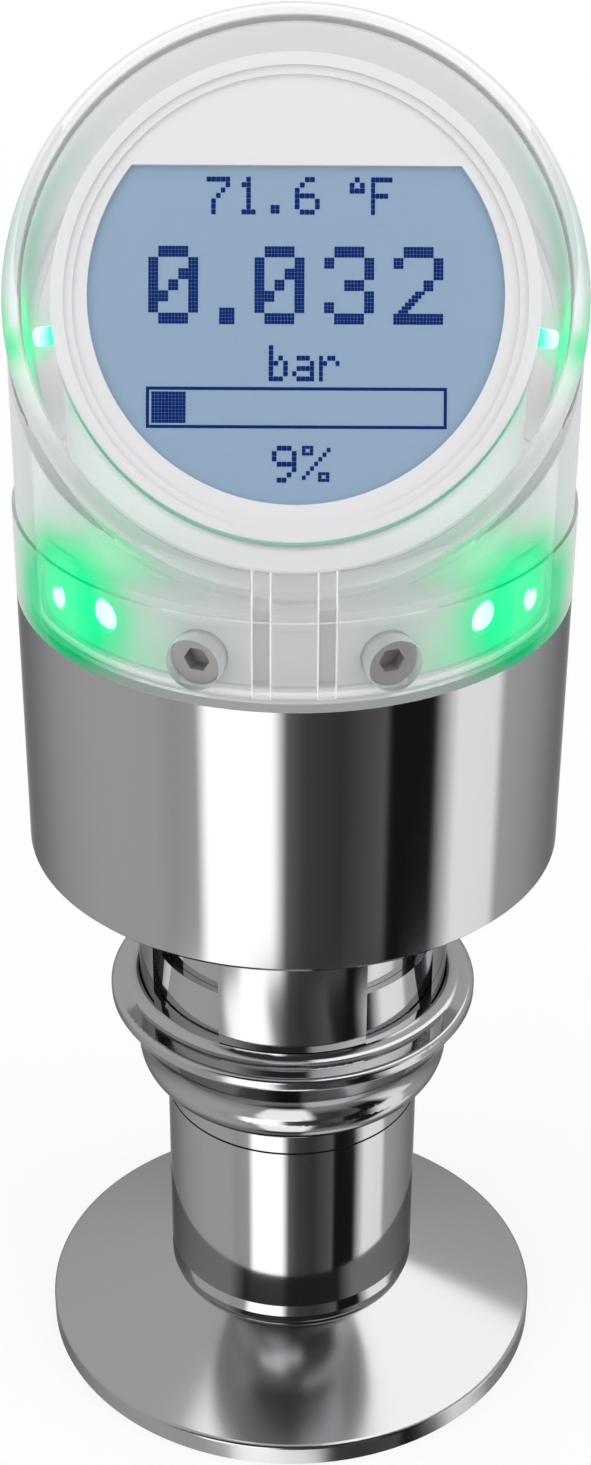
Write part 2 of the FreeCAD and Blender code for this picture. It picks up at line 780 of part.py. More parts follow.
def make_connector():
    flange_base = "connector_gasket_height"
    flange_top = flange_base + " + connector_flange_height"
    mouth = flange_top + " + connector_thread_length"
    insert_top = mouth + " - insert_recess"
    insert_base = insert_top + " - insert_length"
    shank_bore = "shank_radius + connector_fit"
    face_rear(tube("connector_gasket", shank_bore, "connector_flange_radius", "0", flange_base))
    face_rear(turned("connector_shell", [
        ("connector_bore", "0 - shank_length"),
        ("shank_radius", "0 - shank_length"),
        ("shank_radius", flange_base),
        ("connector_flange_radius", flange_base),
        ("connector_flange_radius", flange_top),
        ("connector_thread_radius", flange_top),
        ("connector_thread_radius", mouth),
        ("connector_bore", mouth),
    ]))
    insert = disc("connector_insert", "insert_radius", insert_base, insert_top)
    holes = new_sketch(insert, "pin_circles", origin_plane(insert, "XY_Plane"), insert_base)
    hole = "pin_radius + bush_gap"
    draw_circle(holes, hole)
    left = "0 - pin_circle"
    for across, up in (("pin_circle", "0"), (left, "0"), ("0", "pin_circle"), ("0", left)):
        draw_circle(holes, hole, across, up)
    extrude(insert, "pin_holes", "Pocket", holes, "insert_length", backwards=True)
    face_rear(insert)
    pin = disc("connector_pin", "pin_radius", insert_base + " - pin_tail", insert_top + " + pin_reach")
    face_rear(pin)
    circle = size("pin_circle")
    rear = pin.Placement
    spots = [V(0, 0, 0), V(circle, 0, 0), V(-circle, 0, 0), V(0, circle, 0), V(0, -circle, 0)]
    upright = FreeCAD.Rotation()
    group("connector_pins", pin, [rear.multiply(FreeCAD.Placement(spot, upright)) for spot in spots])
    nut = new_body("connector_nut")
    flats = new_sketch(nut, "nut_outline", origin_plane(nut, "XY_Plane"), "0 - boss_height - nut_height")
    draw_hexagon(flats, "nut_flat")
    draw_circle(flats, "shank_radius + connector_fit")
    extrude(nut, "nut_block", "Pad", flats, "nut_height")
    face_rear(keep(nut))


def draw_hexagon(sketch, flat):
    """A regular hexagon about the origin from the distance of its flats."""
    reach = amount(flat) * 2 / 3 ** 0.5
    spots = [FreeCAD.Rotation(ALONG_Z, 60 * index).multVec(V(reach, 0, 0)) for index in range(6)]
    ring = sketch.addGeometry(Part.Circle(V(0, 0, 0), ALONG_Z, reach), True)
    lines = [Part.LineSegment(spots[index - 1], spots[index]) for index in range(6)]
    sides = [sketch.addGeometry(line, False) for line in lines]
    sketch.addConstraint(Sketcher.Constraint("Coincident", ring, 3, -1, 1))
    for index, side in enumerate(sides):
        sketch.addConstraint(Sketcher.Constraint("Coincident", sides[index - 1], 2, side, 1))
        sketch.addConstraint(Sketcher.Constraint("PointOnObject", side, 1, ring))
    for side in sides[1:]:
        sketch.addConstraint(Sketcher.Constraint("Equal", sides[0], side))
    sketch.addConstraint(Sketcher.Constraint("PointOnObject", sides[1], 1, -1))
    corner = sketch.addConstraint(Sketcher.Constraint("Radius", ring, reach))
    sketch.renameConstraint(corner, "Corner")
    sketch.setExpression("Constraints.Corner", "Sizes.%s * 2 / sqrt(3)" % flat)


def make_main_board():
    screw_hole = "board_screw_radius + screw_gap"
    post = tube("board_post", screw_hole, "post_radius", "0", "post_height")
    group("board_posts", post, round_places("post_count", "post_circle", PLATE_TOP))
    board = tube("main_board", "board_bore", "board_radius", BOARD_BASE, BOARD_TOP)
    drill_round(board, "board_hole", screw_hole, "post_circle", "post_count", BOARD_BASE, "board_height")
    screw = turned("board_screw", [
        ("0", "0 - board_screw_length"),
        ("board_screw_radius", "0 - board_screw_length"),
        ("board_screw_radius", "0"),
        ("board_screw_head", "0"),
        ("board_screw_head", "board_screw_head_height"),
        ("0", "board_screw_head_height"),
    ])
    group("board_screws", screw, round_places("post_count", "post_circle", BOARD_TOP))
    header = doc.addObject("Part::Box", "board_header")
    header.Label = "board_header"
    header.setExpression("Length", formula("header_length"))
    header.setExpression("Width", formula("header_width"))
    header.setExpression("Height", formula("header_height"))
    header.setExpression("Placement.Base.x", "-Sizes.header_length / 2")
    header.setExpression("Placement.Base.y", formula("header_place"))
    header.setExpression("Placement.Base.z", formula(BOARD_TOP))
    doc.recompute()
    keep(header)


def round_pad(body, name, kind, support, lift, radius, **how):
    """A Pad or Pocket of one circle about a plane's centre."""
    sketch = new_sketch(body, name + "_circle", support, lift)
    draw_circle(sketch, radius)
    return extrude(body, name, kind, sketch, **how)


def elbow_planes(body):
    """The display's plane at the elbow, and the outer and inner mitre planes half way to it."""
    tilt = new_datum(body, "display_plane", ELBOW, "Sizes.face_angle")
    outer = new_datum(body, "mitre", ELBOW, "Sizes.face_angle / 2")
    inner = new_datum(body, "inner_mitre", ELBOW + " - mitre_drop", "Sizes.face_angle / 2")
    return tilt, outer, inner


def screw_holes(body, name, radius, start, length, outwards):
    """Radial holes for the cap screws on the front and the rear, from a distance off the axis."""
    for hand, sign in (("right", ""), ("left", "-")):
        plane = body.newObject("PartDesign::Plane", "%s_plane_%s" % (name, hand))
        attach(body, plane, origin_plane(body, "XZ_Plane"), "0", ALONG_Y, sign + "Sizes.screw_angle")
        for side, lift, flip in (("front", start, outwards), ("rear", "0 - " + start, not outwards)):
            label = "%s_%s_%s" % (name, side, hand)
            sketch = new_sketch(body, label + "_circle", plane, lift)
            draw_circle(sketch, radius, "0", SCREW_HEIGHT)
            extrude(body, label, "Pocket", sketch, length, backwards=flip)


def key_sketch(body, name, lift, margin, base, top):
    """Two upright strips on the front, one each side of the axis and each widened by a margin."""
    sketch = new_sketch(body, name + "_outline", origin_plane(body, "XZ_Plane"), lift)
    near = "key_place - " + margin
    far = "key_place + key_width + " + margin
    draw_outline(sketch, [(near, base), (far, base), (far, top), (near, top)])
    left_near = "0 - key_place + " + margin
    left_far = "0 - key_place - key_width - " + margin
    draw_outline(sketch, [(left_near, base), (left_far, base), (left_far, top), (left_near, top)])
    return sketch


def make_barrel():
    """The tilted barrel of the cap with the rounded edge of its flat window."""
    body = new_body("cap_barrel")
    tilt, outer, inner = elbow_planes(body)
    barrel = round_pad(body, "barrel", "Pad", tilt, "face_reach", "barrel_radius", stop=outer,
                       backwards=True)
    soften(body, "face_edge", "Fillet", circle_edges(barrel, size("barrel_radius")), "face_round")
    return body


def make_clear_cap():
    """The moulded head: mitred upright and barrel, hollowed to an even wall, with a flat window."""
    barrel = make_barrel()
    body = new_body("clear_cap")
    tilt, outer, inner = elbow_planes(body)
    ground = origin_plane(body, "XY_Plane")
    upright = round_pad(body, "upright", "Pad", ground, HOUSING_TOP, "cap_radius", stop=outer)
    ellipses = ["Edge%d" % number for number, edge in enumerate(upright.Shape.Edges, start=1)
                if isinstance(edge.Curve, Part.Ellipse)]
    soften(body, "elbow_edge", "Fillet", ellipses, "elbow_round")
    join = body.newObject("PartDesign::Boolean", "barrel_join")
    join.Type = "Fuse"
    join.setObjects([barrel])
    doc.recompute()
    round_pad(body, "hollow", "Pocket", ground, HOUSING_TOP, CAP_BORE, stop=inner, backwards=True)
    round_pad(body, "display_hollow", "Pocket", tilt, "face_reach - window_wall",
              "barrel_radius - cap_wall", stop=inner)
    skirt = new_sketch(body, "skirt_circles", ground, HOUSING_TOP)
    draw_circle(skirt, "housing_radius")
    draw_circle(skirt, CAP_BORE)
    extrude(body, "skirt", "Pad", skirt, "skirt_height")
    keys = key_sketch(body, "key_ribs", CAP_BORE + " - key_depth", "0", KEY_FOOT, KEY_TOP)
    extrude(body, "key_ribs", "Pad", keys, "key_depth + key_root")
    screw_holes(body, "screw_hole", "screw_head_radius + screw_hole_gap", "screw_seat", "cap_radius", True)
    return keep(body)


def make_cap_screws():
    screw = turned("cap_screw", [
        ("0", "0 - screw_length"),
        ("screw_radius", "0 - screw_length"),
        ("screw_radius", "0"),
        ("screw_head_radius", "0"),
        ("screw_head_radius", "screw_head_height"),
        ("0", "screw_head_height"),
    ])
    socket = new_sketch(screw, "socket_outline", origin_plane(screw, "XY_Plane"), "screw_head_height")
    draw_hexagon(socket, "screw_socket")
    extrude(screw, "socket", "Pocket", socket, "screw_socket_depth")
    insert = tube("screw_insert", "screw_radius + bush_gap", "screw_radius + bush_gap + insert_wall",
                  "0 - insert_height - insert_drop", "0 - insert_drop")
    places = []
    for half_turn in (0, 180):
        for hand in (-1, 1):
            turn = FreeCAD.Rotation(ALONG_Z, half_turn + hand * size("screw_angle"))
            spot = turn.multVec(V(0, 0 - size("screw_seat"), amount(SCREW_HEIGHT)))
            places.append(FreeCAD.Placement(spot, turn.multiply(FreeCAD.Rotation(ALONG_X, 90))))
    group("cap_screws", screw, places)
    group("screw_inserts", insert, places)


def led_turns():
    """Turn about Z from the front, radius and height of each light in the skirt."""
    for angle, radius, height in (("led_angle", "led_radius", LED_HEIGHT),
                                  ("small_led_angle", "small_led_radius", SMALL_LED_HEIGHT)):
        for sign in ("", "-"):
            yield sign, angle, radius, height


def make_carrier():
    """The white frame inside the cap: a thick ring, a flange, a tube and the drum for the display."""
    body = new_body("display_carrier")
    tilt, outer, inner = elbow_planes(body)
    ground = origin_plane(body, "XY_Plane")
    revolve(body, "ring", [
        ("0", CAP_RING_TOP),
        ("carrier_radius", CAP_RING_TOP),
        ("carrier_radius", CARRIER_FLANGE),
        ("carrier_flange_radius", CARRIER_FLANGE),
        ("carrier_flange_radius", CARRIER_FLANGE_TOP),
        ("0", CARRIER_FLANGE_TOP),
    ])
    keys = key_sketch(body, "key_grooves", CAP_BORE + " - key_depth - key_gap", "key_gap", CAP_RING_TOP,
                      CARRIER_FLANGE_TOP)
    extrude(body, "key_grooves", "Pocket", keys, "key_depth + key_depth", backwards=True)
    round_pad(body, "drum_tube", "Pad", ground, CAP_RING_TOP, "drum_radius", stop=outer)
    round_pad(body, "drum", "Pad", tilt, "face_reach", "drum_radius", stop=outer, backwards=True)
    round_pad(body, "drum_front", "Pocket", tilt, DRUM_FRONT, "cap_radius", length="face_reach",
              backwards=True)
    round_pad(body, "tube_bore", "Pocket", ground, CAP_RING_TOP, DRUM_BORE, stop=inner, backwards=True)
    round_pad(body, "drum_bore", "Pocket", tilt, DRUM_FRONT, DRUM_BORE, stop=inner)
    ledge = new_sketch(body, "display_ledge_circles", tilt, DISPLAY_LEDGE_BACK)
    draw_circle(ledge, DRUM_BORE + " + stack_gap")
    draw_circle(ledge, "display_ledge_bore")
    extrude(body, "display_ledge", "Pad", ledge, "display_ledge_height")
    sketch = new_sketch(body, "display_hole_circle", tilt, DISPLAY_LEDGE_BACK)
    draw_circle(sketch, "display_screw_radius + bush_gap", "0", "0 - display_screw_circle")
    hole = extrude(body, "display_hole", "Pocket", sketch, "display_ledge_height", backwards=True)
    spread_round(body, "display_holes", hole, sketch, "display_screw_count")
    screw_holes(body, "screw_flat", "screw_head_radius + screw_hole_gap", "screw_seat", "cap_radius", True)
    screw_holes(body, "insert_hole", "screw_radius + bush_gap + insert_wall + bush_gap", "screw_seat",
                "insert_height + insert_drop + bush_gap", False)
    for side, turn in (("right", "-Sizes.side_led_drop"), ("left", "180 + Sizes.side_led_drop")):
        across = body.newObject("PartDesign::Plane", "lamp_plane_" + side)
        attach(body, across, tilt, "0", ALONG_Z, turn)
        upright = new_sketch(body, "lamp_circle_" + side, across, "0", ALONG_Y, "90")
        draw_circle(upright, "side_led_radius + led_gap", "0 - " + SIDE_LED_DEPTH.replace("-", "+"))
        extrude(body, "lamp_hole_" + side, "Pocket", upright, "cap_radius", backwards=True)
    front = origin_plane(body, "XZ_Plane")
    for number, (sign, angle, radius, height) in enumerate(led_turns()):
        circle = "led_hole_circle_%d" % number
        sketch = new_sketch(body, circle, front, "0", ALONG_Y, sign + "Sizes." + angle)
        draw_circle(sketch, radius + " + led_gap", "0", height)
        extrude(body, "led_hole_%d" % number, "Pocket", sketch, "housing_radius", backwards=True)
    return keep(body)


def make_display():
    """The stack in the drum, from the mask ring back to the circuit board."""
    bezel = turned("display_bezel", [
        ("0", DRUM_FRONT),
        ("drum_radius", DRUM_FRONT),
        ("drum_radius", BEZEL_FRONT),
        ("bezel_step_radius", BEZEL_FRONT),
        ("bezel_step_radius", BEZEL_FRONT + " - bezel_step"),
        ("bezel_inner_step_radius", BEZEL_FRONT + " - bezel_step"),
        ("bezel_inner_step_radius", BEZEL_FRONT + " - bezel_step - bezel_step"),
        ("0", BEZEL_FRONT + " - bezel_step - bezel_step"),
    ])
    aperture = new_sketch(bezel, "aperture_outline", origin_plane(bezel, "XY_Plane"), BEZEL_FRONT)
    draw_aperture(aperture)
    extrude(bezel, "aperture", "Pocket", aperture, "bezel_height")
    lean(bezel)
    lean(disc("lcd_panel", STACK_RADIUS, LCD_BACK, DRUM_FRONT))
    lean(disc("lcd_backlight", STACK_RADIUS, BACKLIGHT_BACK, LCD_BACK))
    board = disc("display_board", STACK_RADIUS, DISPLAY_LEDGE, BACKLIGHT_BACK)
    hole = "display_screw_radius + bush_gap"
    drill_round(board, "board_thread", hole, "display_screw_circle", "display_screw_count", DISPLAY_LEDGE,
                "display_board_height")
    lean(board)
    screw = turned("display_screw", [
        ("0", "0 - display_screw_head_height"),
        ("display_screw_head", "0 - display_screw_head_height"),
        ("display_screw_head", "0"),
        ("display_screw_radius", "0"),
        ("display_screw_radius", "display_screw_length"),
        ("0", "display_screw_length"),
    ])
    tilted = board.Placement
    spots = round_places("display_screw_count", "display_screw_circle", DISPLAY_LEDGE_BACK)
    group("display_screws", screw, [tilted.multiply(spot) for spot in spots])


def draw_aperture(sketch):
    """A circle about the origin cut off by a level chord near its top."""
    radius = size("aperture_radius")
    chord = size("aperture_chord")
    rise = size("aperture_lift")
    half = (radius ** 2 - chord ** 2) ** 0.5
    left = V(-half, chord + rise, 0)
    right = V(half, chord + rise, 0)
    arc = sketch.addGeometry(Part.Arc(left, V(0, rise - radius, 0), right), False)
    line = sketch.addGeometry(Part.LineSegment(right, left), False)
    starts_left = sketch.Geometry[arc].StartPoint.x < 0
    left_end, right_end = (1, 2) if starts_left else (2, 1)
    sketch.addConstraint(Sketcher.Constraint("Coincident", arc, right_end, line, 1))
    sketch.addConstraint(Sketcher.Constraint("Coincident", arc, left_end, line, 2))
    pin_point(sketch, arc, 3, "0", "aperture_lift")
    sketch.addConstraint(Sketcher.Constraint("Horizontal", line))
    round_size = sketch.addConstraint(Sketcher.Constraint("Radius", arc, radius))
    sketch.renameConstraint(round_size, "ApertureRadius")
    sketch.setExpression("Constraints.ApertureRadius", formula("aperture_radius"))
    chord_size = sketch.addConstraint(Sketcher.Constraint("DistanceY", -1, 1, line, 1, chord + rise))
    sketch.renameConstraint(chord_size, "ApertureChord")
    sketch.setExpression("Constraints.ApertureChord", formula("aperture_chord + aperture_lift"))


def make_leds():
    """Domed green lights, each on a radius of the ring or drum that it shines out of."""
    upright = FreeCAD.Rotation(ALONG_X, 90)
    solids = []
    for sign, angle, radius, height in led_turns():
        lamp = lamp_body("lamp_%d" % len(solids), radius, "led_tip - led_root")
        turn = FreeCAD.Rotation(ALONG_Z, size(angle) * (-1 if sign else 1))
        spot = turn.multVec(V(0, -size("led_root"), amount(height)))
        solid = lamp.Shape.copy()
        solid.Placement = FreeCAD.Placement(spot, turn.multiply(upright))
        solids.append(solid)
    leds = doc.addObject("Part::Feature", "status_leds")
    leds.Label = "status_leds"
    leds.Shape = Part.makeCompound(solids)
    keep(leds)
    ring_bore = DRUM_BORE + " - bush_gap"
    board_base = SMALL_LED_HEIGHT + " - led_board_height"
    tube("led_board", ring_bore + " - led_board_width", ring_bore, board_base, SMALL_LED_HEIGHT)
    lamp = lamp_body("side_lamp", "side_led_radius", "side_led_tip - drum_radius + carrier_wall")
    tilted = FreeCAD.Placement(V(0, 0, amount(ELBOW)), FreeCAD.Rotation(ALONG_X, size("face_angle")))
    places = []
    for turn in (-size("side_led_drop"), 180 + size("side_led_drop")):
        around = FreeCAD.Rotation(ALONG_Z, turn)
        spot = around.multVec(V(amount(DRUM_BORE), 0, amount(SIDE_LED_DEPTH)))
        outwards = around.multiply(FreeCAD.Rotation(ALONG_Y, 90))
        places.append(tilted.multiply(FreeCAD.Placement(spot, outwards)))
    group("side_leds", lamp, places)


def lamp_body(label, radius, length):
    """One light with a rounded tip along its own Z."""
    body = new_body(label)
    lamp = revolve(body, label + "_turning", [("0", "0"), (radius, "0"), (radius, length), ("0", length)])
    soften(body, label + "_tip", "Fillet", circle_edges(lamp, amount(radius), amount(length)), "led_round")
    return body


def check_and_export():
    """Stops on any failed object or bad solid, then writes one file for each sub-part."""
    doc.recompute()
    for item in doc.Objects:
        if "Invalid" in item.State or "Error" in item.State:
            raise RuntimeError("%s failed: %s" % (item.Label, item.State))
    for piece in pieces:
        if piece.Shape.isNull() or not piece.Shape.isValid() or not piece.Shape.Solids:
            raise RuntimeError("%s has no valid solid" % piece.Label)
    os.makedirs("parts", exist_ok=True)
    for piece in pieces:
        piece.Shape.exportStep("parts/%s.step" % piece.Label)


make_ferrule()
make_diaphragm()
make_pressure_cell()
make_stem()
make_swivel()
make_cup()
make_collar()
make_housing()
make_vent()
make_connector()
make_main_board()
make_clear_cap()
make_cap_screws()
make_carrier()
make_display()
make_leds()
check_and_export()
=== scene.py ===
import bpy
import json
import math
from mathutils import Euler, Matrix, Vector


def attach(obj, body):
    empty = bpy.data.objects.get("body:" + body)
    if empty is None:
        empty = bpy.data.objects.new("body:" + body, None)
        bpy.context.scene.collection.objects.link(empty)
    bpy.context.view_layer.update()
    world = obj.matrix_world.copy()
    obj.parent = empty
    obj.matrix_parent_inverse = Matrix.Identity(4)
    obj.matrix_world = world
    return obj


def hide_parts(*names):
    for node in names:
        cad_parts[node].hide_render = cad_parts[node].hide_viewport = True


# Looks of the hydrostatic level sensor: polished steel, clear head, white inner frame and a lit display.
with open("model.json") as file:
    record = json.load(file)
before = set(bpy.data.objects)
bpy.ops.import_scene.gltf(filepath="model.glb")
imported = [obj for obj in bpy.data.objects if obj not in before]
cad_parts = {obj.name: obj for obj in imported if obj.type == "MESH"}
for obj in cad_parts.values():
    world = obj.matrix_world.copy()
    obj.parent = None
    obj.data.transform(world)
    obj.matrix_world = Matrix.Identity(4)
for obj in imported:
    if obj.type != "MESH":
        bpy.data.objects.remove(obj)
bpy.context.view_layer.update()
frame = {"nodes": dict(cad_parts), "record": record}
nodes = frame["nodes"]
MM = 0.001

# The display's own frame: its origin on the stem's axis at the elbow of the cap, leaned back about X.
LEAN = math.radians(58.0)
ELBOW = Vector((0, 0, 139.07 * MM))
FACE = Matrix.Translation(ELBOW) @ Matrix.Rotation(LEAN, 4, "X")
LCD_FRONT = 13.5 * MM
# How far the camera looks down, in radians.
LOOK_DOWN = 0.5838

# Settings of shader nodes that recur.
SOFT = {"interpolation_type": "SMOOTHSTEP"}
MIX_COLOURS = {"data_type": "RGBA"}
ADD = {"operation": "ADD"}
SUBTRACT = {"operation": "SUBTRACT"}
SUBTRACT_CLAMPED = {"operation": "SUBTRACT", "use_clamp": True}
MULTIPLY = {"operation": "MULTIPLY"}
MULTIPLY_CLAMPED = {"operation": "MULTIPLY", "use_clamp": True}
MAXIMUM = {"operation": "MAXIMUM"}
MINIMUM = {"operation": "MINIMUM"}
ABSOLUTE = {"operation": "ABSOLUTE"}


def hex_colour(text):
    """An sRGB hex value as linear red, green, blue and alpha."""
    channels = [int(text[i:i + 2], 16) / 255 for i in (1, 3, 5)]
    return [c / 12.92 if c <= 0.04045 else ((c + 0.055) / 1.055) ** 2.4 for c in channels] + [1.0]


def grey(level):
    """A grey of a linear level, with alpha."""
    return (level, level, level, 1.0)


def add_node(tree, kind, settings=None, values=None, links=None):
    """A shader node with its settings, its socket values and its incoming links."""
    node = tree.nodes.new(kind)
    for name, value in (settings or {}).items():
        setattr(node, name, value)
    for name, value in (values or {}).items():
        node.inputs[name].default_value = value
    for name, source in (links or {}).items():
        tree.links.new(source, node.inputs[name])
    return node


def principled(material):
    """The shader node that a new material starts with."""
    return material.node_tree.nodes["Principled BSDF"]


def new_material(name, colour, **values):
    """A Principled material with one colour and plain values on its sockets."""
    material = bpy.data.materials.new(name)
    material.use_nodes = True
    shader = principled(material)
    shader.inputs["Base Color"].default_value = hex_colour(colour)
    for socket, value in values.items():
        shader.inputs[socket.replace("_", " ")].default_value = value
    return material


# Noise cells per metre across the axis, so few that the tool lines run on all round.
ROUND_SCALE = 20


def turned_lines(material, pitch_mm, height_mm):
    """Fine tool lines round the stem's axis: noise that changes along Z and hardly round it."""
    tree = material.node_tree
    place = add_node(tree, "ShaderNodeTexCoord")
    squeeze = add_node(tree, "ShaderNodeMapping",
                       values={"Scale": (ROUND_SCALE, ROUND_SCALE, 1 / (pitch_mm * MM))},
                       links={"Vector": place.outputs["Object"]})
    noise = add_node(tree, "ShaderNodeTexNoise", values={"Scale": 1.0, "Detail": 2.0},
                     links={"Vector": squeeze.outputs["Vector"]})
    bump = add_node(tree, "ShaderNodeBump", values={"Strength": 1.0, "Distance": height_mm * MM},
                    links={"Height": noise.outputs["Fac"]})
    tree.links.new(bump.outputs["Normal"], principled(material).inputs["Normal"])


def lamp_glow(tree, lamps):
    """How strongly small lamps light a point: each lamp is a place, its reach in mm and its strength."""
    spot = add_node(tree, "ShaderNodeTexCoord")
    strongest = None
    for place, reach, strength in lamps:
        away = add_node(tree, "ShaderNodeVectorMath", {"operation": "DISTANCE"}, {1: place},
                        {0: spot.outputs["Object"]})
        near = add_node(tree, "ShaderNodeMapRange", SOFT,
                        {"From Min": reach * MM, "From Max": 0.0, "To Max": strength},
                        {"Value": away.outputs["Value"]})
        stronger = add_node(tree, "ShaderNodeMath", MAXIMUM, {1: 0.0}, {0: near.outputs["Result"]})
        if strongest:
            tree.links.new(strongest.outputs["Value"], stronger.inputs[1])
        strongest = stronger
    glow = add_node(tree, "ShaderNodeMath", MINIMUM, {1: 1.0}, {0: strongest.outputs["Value"]})
    return glow.outputs["Value"]


# Green light in plastic: the dim wash, the full tint near a lamp, and the glow itself.
WASH_GREEN = hex_colour("#8FD2BE")
TINT_GREEN = hex_colour("#04C880")
TINT_GAIN = 1.6
GLOW_GREEN = hex_colour("#00E68C")
GLOW_STRENGTH = 0.7


def green_lit(material, colour, lamps, washes):
    """Plastic of one colour that is washed with dim green and glows near the lamps. Gives the glow."""
    tree = material.node_tree
    shader = principled(material)
    glow = lamp_glow(tree, lamps)
    wash = add_node(tree, "ShaderNodeMix", MIX_COLOURS, {"A": hex_colour(colour), "B": WASH_GREEN},
                    {"Factor": lamp_glow(tree, washes)})
    deep = add_node(tree, "ShaderNodeMath", MULTIPLY_CLAMPED, {1: TINT_GAIN}, {0: glow})
    tint = add_node(tree, "ShaderNodeMix", MIX_COLOURS, {"B": TINT_GREEN},
                    {"Factor": deep.outputs["Value"], "A": wash.outputs["Result"]})
    tree.links.new(tint.outputs["Result"], shader.inputs["Base Color"])
    shader.inputs["Emission Color"].default_value = GLOW_GREEN
    level = add_node(tree, "ShaderNodeMath", MULTIPLY, {1: GLOW_STRENGTH}, {0: glow})
    tree.links.new(level.outputs["Value"], shader.inputs["Emission Strength"])
    return glow


def off_middle(tree, value, middle_mm, half_mm):
    """How far a coordinate lies outside a stretch about its middle."""
    away = add_node(tree, "ShaderNodeMath", SUBTRACT, {1: middle_mm * MM}, {0: value})
    size = add_node(tree, "ShaderNodeMath", ABSOLUTE, links={0: away.outputs["Value"]})
    beyond = add_node(tree, "ShaderNodeMath", SUBTRACT, {1: half_mm * MM}, {0: size.outputs["Value"]})
    return beyond.outputs["Value"]


def points_of(name):
    """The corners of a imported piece, in metres."""
    return [nodes[name].matrix_world @ vertex.co for vertex in nodes[name].data.vertices]


def lens_middles(points):
    """The middle of the points at the left and of those at the right."""
    sides = ([p for p in points if p.x < 0], [p for p in points if p.x > 0])
    return [sum(side, Vector()) / len(side) for side in sides]


# Sideways over forwards place: the small lenses of the skirt lie beyond this slope, the large ones within.
SMALL_LENS_SLOPE = 1.3


def in_small_lens(point):
    """True for the small lenses, which sit further round the skirt than the large ones."""
    return abs(point.x) > -SMALL_LENS_SLOPE * point.y


def shifted(place, x=0, y=0, z=0):
    """A place moved along the axes, in mm."""
    return place + Vector((x, y, z)) * MM


def sideways(place, distance, rise=0):
    """A place moved away from the middle plane and upwards, in mm."""
    return place + Vector((math.copysign(distance, place.x), 0, rise)) * MM


def outwards(place, distance):
    """A place moved away from the stem's axis, in mm."""
    return place + Vector((place.x, place.y, 0)).normalized() * distance * MM


def over_face(place, up, out):
    """A place moved up along the display's face and out of it, in mm."""
    return place + FACE.to_3x3() @ Vector((0, up, out)) * MM


# A side lamp shows in the window as a soft spot: its height over the elbow in mm, how much further out it
# lies, as a factor, and how much lower, in mm.
SPOT_LIFT = 15.0
SPOT_SPREAD = 1.03
SPOT_DROP = 1.5


def seen_in_window(place):
    """Where a side lamp shows in the window."""
    spot = FACE.inverted() @ place
    return FACE @ Vector((spot.x * SPOT_SPREAD, spot.y - SPOT_DROP * MM, SPOT_LIFT * MM))


skirt_radius = max(point.x for point in points_of("clear_cap"))


def on_skirt(place):
    """Where the line from a lamp towards the viewer leaves the skirt."""
    ahead = place.y + math.sqrt(skirt_radius ** 2 - place.x ** 2)
    return place + Vector((0, -ahead, ahead * math.tan(LOOK_DOWN)))


# Middles of the lit lamps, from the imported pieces: in the skirt at each side a large and a small one,
# both together, and the one beside the display.
skirt_points = points_of("status_leds")
skirt_lamps = lens_middles(skirt_points)
large_lamps = lens_middles([point for point in skirt_points if not in_small_lens(point)])
small_lamps = lens_middles([point for point in skirt_points if in_small_lens(point)])
display_lamps = lens_middles(points_of("side_leds"))

# Light in the inner frame. Each light here and below: its place, its reach in mm and its strength.
FRAME_LAMPS = [(shifted(place, z=1), 13.5, 1.15) for place in skirt_lamps]
FRAME_LAMPS += [(shifted(place, y=-2, z=-5), 17.0, 0.75) for place in skirt_lamps]
FRAME_LAMPS += [(place, 25.0, 0.2) for place in skirt_lamps]
FRAME_LAMPS += [(place, 6.0, 1.6) for place in display_lamps]
FRAME_LAMPS += [(place, 15.0, 0.3) for place in display_lamps]
FRAME_WASHES = [(over_face(place, up, -2), 13.0, 1.2) for place in display_lamps for up in (0, 8, 16)]
# Light in the clear cap.
CAP_LAMPS = [(shifted(place, z=1), 13.0, 1.5) for place in skirt_lamps]
CAP_LAMPS += [(sideways(place, 1.5), 7.5, 1.6) for place in display_lamps]
CAP_LAMPS += [(seen_in_window(place), 4.0, 1.3) for place in display_lamps]
CAP_LAMPS += [(outwards(place, 4.0), 12.0, 0.75) for place in small_lamps]
CAP_LAMPS += [(place, 24.0, 0.15) for place in skirt_lamps]
CAP_WASHES = [(over_face(place, 8, 0), 12.0, 0.8) for place in display_lamps]
# Pale spots on the skirt, where the small lamps shine through it.
SKIRT_SPOTS = [(on_skirt(sideways(place, 1.4, -1.8)), 1.5, 3.0) for place in small_lamps]
# The pale cores of the lenses, at their tips.
CORES = [(outwards(place, 2.5), 3.6, 3.0) for place in large_lamps]
CORES += [(outwards(place, 2.5), 4.6, 4.0) for place in small_lamps]
CORES += [(sideways(place, 1.2), 2.6, 2.0) for place in display_lamps]

# The clear cap in mm, each pair from where a zone starts to where it is full. Of the display's face:
WINDOW_BACK = (14.8, 14.2)
WINDOW_SIDE = (28.0, 28.4)
RING_RISE = (-22, -4)
LIP_SIDE = (25.2, 26.2)
LIP_FALL = (-10, -22)
LINE_FALL = (-6, -16)
LINE_RADIUS = 25.25
LINE_HALF = 0.2
# Of the sensor's own axes:
FOOT_FALL = (113.0, 110.5)
RIB_FRONT = (-27, -29)
RIB_MIDDLE = 3.4
RIB_HALF_WIDTH = 0.95
RIB_MIDDLE_HEIGHT = 117.6
RIB_HALF_HEIGHT = 7.0
RIB_LINE = 0.22
# How milky each zone of the cap is, from 0 to 1. A wall is milkiest where it is seen edge on.
FACING_MILK = 0.08
EDGE_MILK = 0.92
EDGE_BLEND = 0.25
EDGE_FULL = 0.8
RING_MILK = 0.6
FOOT_MILK = 0.32
RIB_MILK = 0.6
LIP_MILK = 0.3
GLOW_MILK = 0.4
